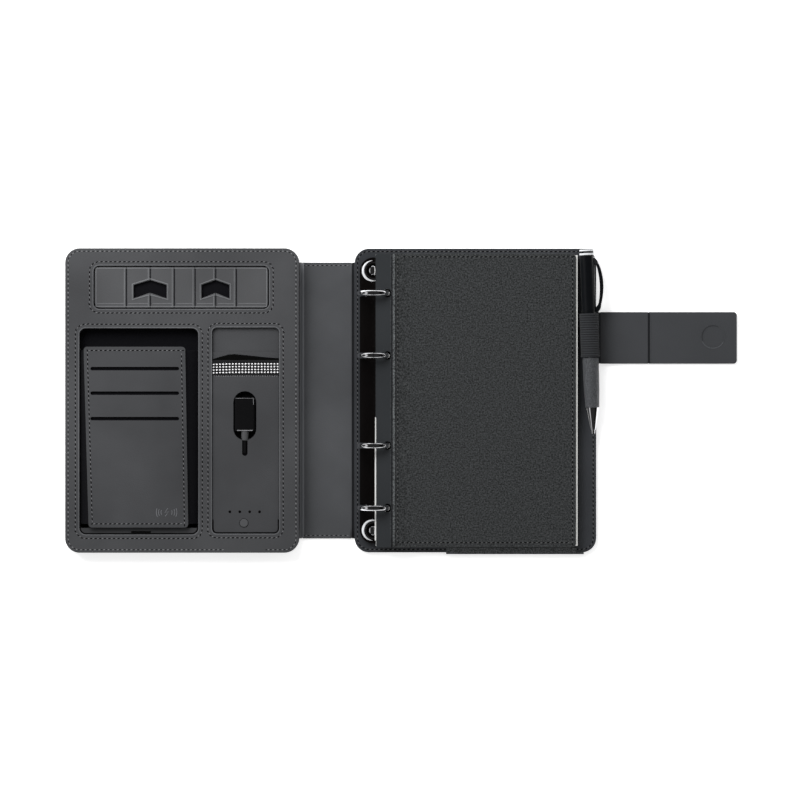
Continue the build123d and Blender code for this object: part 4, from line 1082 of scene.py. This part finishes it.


# %% [markdown]
# Charging plug
# The plug is a plain moulding. Thin light lines run along the top and one side of its face and across its
# end: painted highlights on its edges, in the grey of the hem thread. Its cord leaves through a stepped
# sleeve that keeps it from kinking. The lines are low tubes, and a profile spun round the cord makes the
# sleeve.

# %% Charging plug's lines and sleeve
PLUG_FACE = (-6.6, 6.2)
PLUG_FACE_Y = (1.6, -3.0)
PLUG_END = (5.6, -21.6)
FACE_LINE = (0.2, 0.1)
END_LINE = (0.5, 0.15)
SLEEVE = ((2.75, -22.15), (2.75, -22.9), (2.6, -23.3), (2.55, -27.2), (2.3, -27.6), (2.3, -28.6),
          (1.7, -29.0))
plug = Plan("charging_plug")
lead = Plan("charging_lead")
plug_lines = bmesh.new()
face_left, face_right = plug.x + PLUG_FACE[0], plug.x + PLUG_FACE[1]
face_run = [(face_left, PLUG_FACE_Y[0]), (face_right, PLUG_FACE_Y[0]), (face_right, PLUG_FACE_Y[1])]
end_run = [(plug.x - PLUG_END[0], PLUG_END[1]), (plug.x + PLUG_END[0], PLUG_END[1])]
pressed_line(plug_lines, face_run, plug.top, FACE_LINE)
pressed_line(plug_lines, end_run, plug.top, END_LINE)
add_piece("plug_lines", plug_lines, [hem_thread_and_highlight], "left_cover")


def spun(mesh, profile, x=0.0, y=0.0, steps=64):
    """A profile of radius and height in millimetres, spun round an upright line and added to a mesh."""
    verts = [mesh.verts.new(((x + radius) * MM, y * MM, height * MM)) for radius, height in profile]
    edges = [mesh.edges.new(pair) for pair in zip(verts, verts[1:])]
    bmesh.ops.spin(mesh, geom=verts + edges, cent=(x * MM, y * MM, 0), axis=(0, 0, 1), steps=steps,
                   angle=2 * math.pi, use_merge=True)
    bmesh.ops.remove_doubles(mesh, verts=mesh.verts, dist=0.001 * MM)
    bmesh.ops.recalc_face_normals(mesh, faces=mesh.faces)


sleeve = bmesh.new()
spun(sleeve, SLEEVE, steps=32)
lead_place = Matrix.Translation((plug.x * MM, 0, (lead.low + lead.top) / 2 * MM))
along_lead = lead_place @ Matrix.Rotation(-math.pi / 2, 4, "X")
bmesh.ops.transform(sleeve, matrix=along_lead, verts=sleeve.verts)
add_piece("relief_sleeve", sleeve, [FINISHES["button"]], "left_cover")
print("sleeve:", SLEEVE[0][1] - SLEEVE[-1][1], "mm long")


# %% [markdown]
# Rings
# Each ring is a pair of curved wires that meet at the crown. A torus could be cut in two, but a circle spun
# round the ring's middle gives each half its own closed end at once. The halves ride on their own rails, so
# that they part as the real ones do.

# %% Ring wires and rails
RING_X = 33.8
RING_Z = 12.4
RING_R = 10.4
WIRE_R = 1.6
WIRE_WIDE = 1.25
RING_YS = (-77.5, -32.5, 32.5, 77.5)
CROWN_GAP_DEG = 0.6
FOOT_DEG = 130.0
RAIL_REACH = (0.1, 6.2)
RAIL_HALF = 86.0
RAIL_Z = (5.35, 6.05)
TAB_REACH = (6.0, 9.4)
TAB_HALF = 2.0


def half_ring(mesh, y, side):
    """Half a ring from its crown down to its rail."""
    crown = Matrix.Translation((RING_X * MM, y * MM, (RING_Z + RING_R) * MM))
    wire = crown @ Matrix.Rotation(math.pi / 2, 4, "Y") @ Matrix.Diagonal((1, WIRE_WIDE, 1, 1))
    made = bmesh.ops.create_circle(mesh, cap_ends=True, segments=20, radius=WIRE_R * MM, matrix=wire)
    centre = Vector((RING_X * MM, y * MM, RING_Z * MM))
    start = Matrix.Rotation(math.radians(side * CROWN_GAP_DEG), 3, "Y")
    bmesh.ops.rotate(mesh, cent=centre, matrix=start, verts=made["verts"])
    faces = {face for vert in made["verts"] for face in vert.link_faces}
    bmesh.ops.spin(mesh, geom=list(faces), cent=centre, axis=(0, 1, 0), steps=40,
                   angle=math.radians(side * (FOOT_DEG - CROWN_GAP_DEG)), use_merge=False)


for rail_node, side in (("left_rail", -1), ("right_rail", 1)):
    mesh = bmesh.new()
    for y in RING_YS:
        half_ring(mesh, y, side)
    whole = mesh.verts[:] + mesh.edges[:] + mesh.faces[:]
    low_cut = bmesh.ops.bisect_plane(mesh, geom=whole, plane_co=(0, 0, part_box(rail_node)[0].z),
                                     plane_no=(0, 0, 1), clear_inner=True)
    rims = [part for part in low_cut["geom_cut"] if isinstance(part, bmesh.types.BMEdge)]
    bmesh.ops.edgeloop_fill(mesh, edges=rims)
    rail_x = sorted(RING_X + side * reach for reach in RAIL_REACH)
    tab_x = sorted(RING_X + side * reach for reach in TAB_REACH)
    add_box(mesh, rail_x, (-RAIL_HALF, RAIL_HALF), RAIL_Z)
    for y in RING_YS:
        add_box(mesh, tab_x, (y - TAB_HALF, y + TAB_HALF), RAIL_Z)
    bmesh.ops.recalc_face_normals(mesh, faces=mesh.faces)
    add_piece(rail_node + "_chrome", mesh, [FINISHES["chrome"]], BODY_OF[rail_node], [rail_node])
print("rings:", len(RING_YS), "pairs of half rings")


# %% [markdown]
# Rivets and painted highlights
# Two domed rivets hold the mechanism, each in a raised rim. The plate dips round them, and the dip's bevel
# shows as a white crescent where the chrome mirrors the light. The crescent is a painted reflection: a real
# sliver of face in light grey, not chrome, since a bevel this fine would get lost in a plain plate.

# %% Rivets and rims of the mechanism
RIVET_Y = 94.0
CRESCENT_Z = 7.68
PLATE_CURVE = 0.016
CRESCENT_STEPS = 20
CRESCENT_RISE = 0.6
CRESCENT_THIN = 0.02
DOME = ((0, 0), (1.2, -0.05), (2.4, -0.3), (3.6, -0.8), (3.95, -1.3), (4.0, -2.0), (0, -2.0))
RIM = ((5.2, -0.6), (5.35, -0.05), (5.8, 0.05), (6.5, -0.05), (6.7, -0.5), (6.75, -0.8))
rivet_top = Plan("mech_rivets").top
for name, nodes, outline, top in (("mech_rivets_domed", ["mech_rivets"], DOME, rivet_top),
                                  ("mech_rims", [], RIM, Plan("mech_plate").top)):
    mesh = bmesh.new()
    for side in (-1, 1):
        spun(mesh, [(radius, top + rise) for radius, rise in outline], RING_X, side * RIVET_Y, steps=48)
    add_piece(name, mesh, [FINISHES["chrome"]], "right_cover", nodes)


def crescent(mesh, side, radius, width, start, end, height, arch=0.0):
    """A curved bevel round a rivet, light grey as a painted reflection, widest in its middle, on a plate that
    may be arched across.
    """
    lines = []
    for step in range(CRESCENT_STEPS + 1):
        part = step / CRESCENT_STEPS
        angle = math.radians(start + (end - start) * part)
        half = width / 2 * max(math.sin(math.pi * part), CRESCENT_THIN)
        line = []
        for reach, rise in ((radius - half, 0.0), (radius, half * CRESCENT_RISE), (radius + half, 0.0)):
            across = reach * math.cos(angle)
            along = side * (RIVET_Y + reach * math.sin(angle))
            level = height + rise - arch * across ** 2
            line.append(mesh.verts.new(((RING_X + across) * MM, along * MM, level * MM)))
        lines.append(line)
    skin(mesh, lines)


bright = bmesh.new()
for side in (-1, 1):
    crescent(bright, side, 7.3, 2.6, 95, 295, CRESCENT_Z, PLATE_CURVE)
    crescent(bright, side, 3.1, 0.9, 50, 150, rivet_top - 0.8)
bmesh.ops.recalc_face_normals(bright, faces=bright.faces)
add_piece("mech_highlights_painted", bright, [highlight_grey_painted], "right_cover")
print("rivets: 2, each in a rim with two crescents")


# %% [markdown]
# Pen
# Everything on the pen is turned, so each part is a profile spun round the pen's axis. A Screw modifier
# would do that too, but a mesh that is spun at once has faces that can be given the black bands. The
# profiles are built standing on the tip, and one matrix lays them down in the elastic loop.

# %% Turned pen parts
PEN_TIP = (192.6, -23.9, 10.95)
PEN_TOP_X = 187.6
PEN_LENGTH = 133.5
pen_tilt = math.asin((PEN_TIP[0] - PEN_TOP_X) / PEN_LENGTH)
pen_axis = Vector((-math.sin(pen_tilt), math.cos(pen_tilt), 0))
pen_side = Vector((math.cos(pen_tilt), math.sin(pen_tilt), 0))
pen_frame = Matrix.Translation(Vector(PEN_TIP) * MM) @ Matrix(
    (pen_side, pen_axis.cross(pen_side), pen_axis)).transposed().to_4x4()


def turned(name, profile, finish, body, nodes=(), bands=()):
    """A profile of radius and height in millimetres, spun round the pen's axis, with any black bands."""
    mesh = bmesh.new()
    spun(mesh, profile)
    for face in mesh.faces:
        level = face.calc_center_median().z / MM
        face.material_index = 1 if any(low < level < high for low, high in bands) else 0
    bmesh.ops.transform(mesh, matrix=pen_frame, verts=mesh.verts)
    add_piece(name, mesh, [finish, FINISHES["pen_black"]], body, nodes, smooth=28.0)
    print(name + ":", len(profile), "corners in its profile")


turned("pen_nose_turned", ((0.9, 6), (0.9, 0.1), (1.15, 0), (1.3, 0.3), (1.45, 2.5), (1.9, 3.1), (3.2, 10),
                           (4.3, 16), (4.75, 18.0), (4.75, 18.8), (1.8, 18.8), (1.8, 6), (0.9, 6)),
       FINISHES["pen_chrome"], "pen_lower", ["pen_nose"])
turned("pen_grip_turned", ((1.8, 18.8), (4.8, 18.8), (5.0, 19.1), (5.3, 25), (5.6, 32), (5.8, 41), (5.85, 48),
                           (5.85, 54), (5.6, 54.7), (5.2, 55.1), (1.8, 55.1), (1.8, 18.8)),
       FINISHES["pen_grey"], "pen_lower", ["pen_grip"])
turned("pen_barrel_turned", ((1.8, 55.4), (5.0, 55.4), (5.2, 55.7), (5.2, 128.6), (5.1, 129), (0, 129),
                             (0, 123), (1.8, 123), (1.8, 55.4)),
       FINISHES["pen_black"], "pen_upper", ["pen_upper_barrel"])
# The finial is chrome; its bright rings are light grey, a painted reflection, between its black bands.
turned("pen_finial_turned", ((0, 129), (5.3, 129), (5.3, 130.4), (5.1, 130.5), (5.1, 131.7), (5.3, 131.8),
                             (5.3, 132.6), (5.0, 132.9), (4.4, 133.4), (3.6, 133.5), (0, 133.5)),
       highlight_grey_painted, "pen_upper", ["pen_finial"], bands=((130.42, 131.78), (132.9, 134.0)))


# %% [markdown]
# Pen clip
# The clip is a strip of spring steel that bows away from the barrel and comes back to it at its end. Four-
# sided sections along the bow are joined, the long faces are cut smoothly, and the edges are rounded last.

# %% Bowed clip
CLIP_WIDTH = 3.6
CLIP_THIN = 1.5
CLIP_SWELL = 1.1
CLIP_BOW = ((5.4, 127.2), (8.6, 122.0), (10.5, 115.5), (11.25, 108.5), (10.9, 101.5), (9.5, 94.5),
            (6.8, 87.6))
CHROME_ABOVE = 121.0
CHROME_BELOW = 89.0
LONG_EDGE = 4.5
clip = bmesh.new()
sections = []
for step, (reach, height) in enumerate(CLIP_BOW):
    thick = CLIP_THIN + CLIP_SWELL * math.sin(math.pi * step / (len(CLIP_BOW) - 1))
    corners = ((thick, -1), (0, -1), (0, 1), (thick, 1))
    sections.append([clip.verts.new(((reach - near) * MM, across * CLIP_WIDTH / 2 * MM, height * MM))
                     for near, across in corners])
skin(clip, [section + section[:1] for section in sections])
clip.faces.new(sections[0])
clip.faces.new(sections[-1][::-1])
bmesh.ops.recalc_face_normals(clip, faces=clip.faces)
for face in clip.faces:
    heights = [vert.co.z / MM for vert in face.verts]
    face.material_index = 1 if min(heights) > CHROME_ABOVE or max(heights) < CHROME_BELOW else 0
long_edges = [edge for edge in clip.edges if edge.calc_length() > LONG_EDGE * MM]
bmesh.ops.subdivide_edges(clip, edges=long_edges, cuts=3, smooth=1.0, use_grid_fill=True)
round_edges(clip, 0.35, 2, 50.0)
bmesh.ops.transform(clip, matrix=pen_frame, verts=clip.verts)
add_piece("pen_clip_bowed", clip, [FINISHES["pen_black"], FINISHES["pen_chrome"]], "pen_upper",
          ["pen_clip"])
print("clip:", CLIP_BOW[0][1] - CLIP_BOW[-1][1], "mm long")


# %% [markdown]
# Pen loop
# The loop is ribbed elastic stretched round the pen. Its ribs run round it, so it is a sleeve whose radius
# ripples along its length.

# %% Ribbed loop
LOOP_START = 55.4
LOOP_END = 86.9
LOOP_RIBS = 18
RIB_STEPS = 6
LOOP_RIPPLE = 0.3
LOOP_INNER = 6.16
LOOP_OUTER = 6.95
loop_wall = [(LOOP_INNER, LOOP_START)]
for step in range(LOOP_RIBS * RIB_STEPS + 1):
    height = LOOP_START + (LOOP_END - LOOP_START) * step / (LOOP_RIBS * RIB_STEPS)
    ripple = LOOP_RIPPLE * (1 - math.cos(2 * math.pi * step / RIB_STEPS)) / 2
    loop_wall.append((LOOP_OUTER - LOOP_RIPPLE + ripple, height))
loop_wall += [(LOOP_INNER, LOOP_END), (LOOP_INNER, LOOP_START)]
turned("pen_loop_ribbed", loop_wall, loop_cloth, "right_cover", ["pen_loop"])


# %% [markdown]
# Creases
# Where leather folds, a narrow strip bridges the two bodies. A whole cover could be bent by bones, but boards
# are stiff and only the crease gives. The strip is made where it lies and is not attached to either body. Its
# middle is a groove, and the faces in the groove take a near-black finish, a painted shade; the strip at the
# spine's left edge is instead all in a lighter copy of the spine leather, painted light where the left
# cover's wall throws shade, and the notebook's strip is lighter outside its groove, a painted highlight on
# the cover's rounded edge.

# %% Crease strips
CREASE_GRID = (20, 24)
CREASE_THICK = 0.25
SPINE_EDGE = 17.4
SPINE_ROLL = 0.35 / 2.5


def crease(name, lows, highs, level, groove, finishes, turn_x):
    """A strip with a groove, given by its x, depth and width; level gives the strip's height at one x."""
    mesh = bmesh.new()
    columns, rows = CREASE_GRID
    grid = []
    for column in range(columns + 1):
        x = lows[0] + (highs[0] - lows[0]) * column / columns
        z = level(x) - groove[1] * math.exp(-((x - groove[0]) / groove[2]) ** 2)
        ys = [lows[1] + (highs[1] - lows[1]) * row / rows for row in range(rows + 1)]
        grid.append([mesh.verts.new((x * MM, y * MM, z * MM)) for y in ys])
    faces = skin(mesh, grid)
    for face in faces:
        from_groove = abs(face.calc_center_median().x / MM - groove[0])
        face.material_index = 1 if from_groove < groove[2] else 0
    thicken(mesh, faces, CREASE_THICK)
    strip = new_object(name, mesh_data(name, mesh), finishes)
    middle_z = level(turn_x) * MM
    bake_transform(strip)


def spine_level(x):
    """The height of the creases beside the spine, which roll down outside its edges."""
    return spine.top + 0.12 - SPINE_ROLL * max(0.0, abs(x) - SPINE_EDGE)


print("crease grid:", CREASE_GRID[0], "by", CREASE_GRID[1], "faces")


# %% [markdown]
# Where the leather folds
# There are five creases: both edges of the spine, the strap's root and fold, and the notebook's hinge line.
# Each also gives the x of a fold's axis, which nothing in the strip uses.

# %% Five creases
spine_half = spine.height / 2 - 0.4
crease("spine_crease_right", (16.6, -spine_half), (19.9, spine_half), spine_level, (18.9, 0.3, 0.8),
       [spine_leather, crease_shade_painted], 18.0)
crease("spine_crease_left", (-19.9, -spine_half), (-16.6, spine_half), spine_level, (-18.9, 0.3, 0.8),
       [spine_edge_light_painted, spine_edge_light_painted], -18.0)
strap = Plan("strap_outer")
strap_low = strap.y - strap.height / 2 + 0.25
strap_far = strap.y + strap.height / 2 - 0.25
strap_crease = [strap_leather, crease_shade_painted]
crease("strap_crease_root", (196.6, strap_low), (198.9, strap_far), lambda x: strap.top + 0.1,
       (197.6, 0.25, 0.35), strap_crease, 197.6)
crease("strap_crease_fold", (231.6, strap_low), (234.8, strap_far), lambda x: strap.top + 0.1,
       (233.2, 0.06, 0.75), strap_crease, 233.0)
book_half = Plan("notebook_cover_panel").height / 2 - 0.3
crease("notebook_crease", (46.3, -book_half), (49.3, book_half), lambda x: crease_top + 0.12,
       (47.0, 0.08, 0.62), [notebook_rim_highlight_painted, crease_shade_painted], 48.0)
print("creases: 5 strips")


# %% [markdown]
# Magnet mark
# The strap hides a magnet, which shows as a round mark pressed through the leather. Two low rings make it,
# and two arcs laid over them paint its light and shade: a lighter arc along its lower side is a painted
# highlight, and a darker arc on its upper left is painted shade.

# %% Strap marks
MAGNET = (279.6, 46.3)
MAGNET_RINGS = ((8.6, (0.7, 0.2)), (7.2, (0.7, 0.15)))
PAINTED_ARC_LINE = (0.6, 0.24)
strap_marks = bmesh.new()
for radius, line in MAGNET_RINGS:
    ring = arc(*MAGNET, radius, [step * 7.5 for step in range(48)])
    pressed_line(strap_marks, ring, strap.top, line, closed=True)
add_piece("strap_magnet_mark", strap_marks, [strap_leather], "strap_outer")
for name, finish, radius, angles in (("strap_magnet_highlight_painted", strap_highlight_painted, 8.5, range(205, 336, 7)),
                                     ("strap_magnet_shade", strap_shade, 7.9, range(60, 201, 7))):
    painted_arc_mesh = bmesh.new()
    pressed_line(painted_arc_mesh, arc(*MAGNET, radius, angles), strap.top, PAINTED_ARC_LINE)
    add_piece(name, painted_arc_mesh, [finish], "strap_outer")
print("magnet mark:", len(MAGNET_RINGS), "rings and 2 arcs")


# %% [markdown]
# Charging mark
# The pocket panel carries a small generic mark for wireless charging: a bolt between three arcs on each side.
# It could be a picture laid on the leather, but it is pressed, so the same low lines as the lips draw it. The
# lines are a much lighter copy of the pocket leather, a painted highlight on the pressed edges.

# %% Charging mark
MARK = (-115.5, -80.6)
MARK_RADII = (4.0, 5.8, 7.4)
MARK_LINE = (0.34, 0.16)
BOLT = ((0.9, 2.9), (-1.3, -0.3), (1.3, 0.3), (-0.9, -2.9))
BOLT_LINE = (0.4, 0.16)
mark = bmesh.new()
for angles in (range(206, 153, -8), range(-26, 27, 8)):
    for radius in MARK_RADII:
        pressed_line(mark, arc(*MARK, radius, angles), panel_top, MARK_LINE)
pressed_line(mark, [(MARK[0] + x, MARK[1] + y) for x, y in BOLT], panel_top, BOLT_LINE)
add_piece("charging_mark", mark, [mark_highlight_painted], "left_cover")
print("charging mark:", 2 * len(MARK_RADII), "arcs and a bolt")


# %% [markdown]
# Studio floor
# The photograph is a pack shot: pure white all round, soft light, and the camera straight above. A floor
# that is only lit would turn grey towards its edges, so this one also glows a little and stays white.

# %% Floor
FLOOR_HALF = 3.0
FLOOR_Z = -0.0003
FLOOR_GLOW = 0.55
floor_mesh = bmesh.new()
bmesh.ops.create_grid(floor_mesh, x_segments=1, y_segments=1, size=FLOOR_HALF)
floor_finish = Finish("floor_white", (0.9, 0.9, 0.9), 0.9)
floor_finish.shader.inputs["Emission Color"].default_value = (1, 1, 1, 1)
floor_finish.shader.inputs["Emission Strength"].default_value = FLOOR_GLOW
floor = new_object("floor", mesh_data("floor", floor_mesh), [floor_finish.material])
floor.location.z = FLOOR_Z
print("floor:", 2 * FLOOR_HALF, "m wide")


# %% [markdown]
# Sky
# The rings look black in the photograph with light outlines, because they mirror a dark side round the
# camera, and one plain white sky would whiten them. So the world mixes two skies, and a ray that comes off a
# polished face sees the second: light only near the horizon, darker towards the left and right ends, with
# one light strip on the left.

# %% Sky
SKY_STRENGTH = 0.75
STRIP_STRENGTH = 0.85
world = bpy.data.worlds.new("studio")
bpy.context.scene.world = world
world.use_nodes = True
sky = world.node_tree


def sky_ramp(value, *stops):
    """The grey that a ramp in the sky gives to a value, from its stops."""
    return add_node(sky, "ShaderNodeValToRGB", {"stops": stops}, {0: value})


direction = add_node(sky, "ShaderNodeTexCoord", {}, {}, output="Generated")
height = add_node(sky, "ShaderNodeSeparateXYZ", {}, {0: direction}, output="Z")
sideways = add_node(sky, "ShaderNodeSeparateXYZ", {}, {0: direction}, output="X")
lit_sky = sky_ramp(height, (0.0, 1.0), (0.8, 1.0), (0.93, 0.03))
horizon = sky_ramp(height, (0.0, 1.0), (0.2, 1.0), (0.34, 0.03))
open_ends = sky_ramp(sideways * sideways, (0.0, 1.0), (0.3, 1.0), (0.5, 0.1))
strip = sky_ramp(sideways * -1.0, (0.6, 0.0), (0.74, 1.0), (0.8, 1.0), (0.9, 0.0))
in_mirror = add_node(sky, "ShaderNodeLightPath", {}, {}, output="Is Glossy Ray")
seen_sky = lit_sky + in_mirror * (horizon * open_ends + strip * STRIP_STRENGTH - lit_sky)
background = sky.nodes["Background"]
sky.links.new(seen_sky.socket, background.inputs["Color"])
background.inputs["Strength"].default_value = SKY_STRENGTH
print("sky:", len(sky.nodes), "nodes")


# %% [markdown]
# Lamp
# The light in the photograph falls off slowly from the upper left, as from a large softbox. A sun would
# light all of the leather alike, so an area lamp hangs there, and polished faces don't mirror it.

# %% Lamp
LAMP_SIZE = (0.9, 0.6)
LAMP_POWER = 16.0
LAMP_PLACE = (-0.45, 0.65, 0.75)
LAMP_AIM = Vector((-0.05, 0.0, 0.0))
lamp_data = bpy.data.lights.new("softbox", "AREA")
lamp_data.shape = "RECTANGLE"
lamp_data.size, lamp_data.size_y = LAMP_SIZE
lamp_data.energy = LAMP_POWER
lamp = placed("softbox", lamp_data)
lamp.location = LAMP_PLACE
lamp.visible_glossy = False
lamp.rotation_euler = (LAMP_AIM - lamp.location).to_track_quat("-Z", "Y").to_euler()
print("lamp:", lamp.name, LAMP_POWER, "W")


# %% [markdown]
# Camera
# The camera looks straight down through a long lens, so that the book shows almost no perspective, as in
# the photograph. Its distance follows from the width of the field that it has to cover.

# %% Camera
FIELD = 0.58
LENS = 200.0
SENSOR = 36.0
FAR = 20.0
VIEW_CENTRE = (0.0529, 0.00036)
camera_data = bpy.data.cameras.new("camera")
camera_data.lens = LENS
camera_data.sensor_width = SENSOR
camera_data.clip_end = FAR
camera = placed("camera", camera_data)
camera.location = (*VIEW_CENTRE, FIELD * LENS / SENSOR)
bpy.context.scene.camera = camera
bpy.context.scene.view_settings.view_transform = "Standard"
print("camera:", round(camera.location.z, 2), "m above the book")
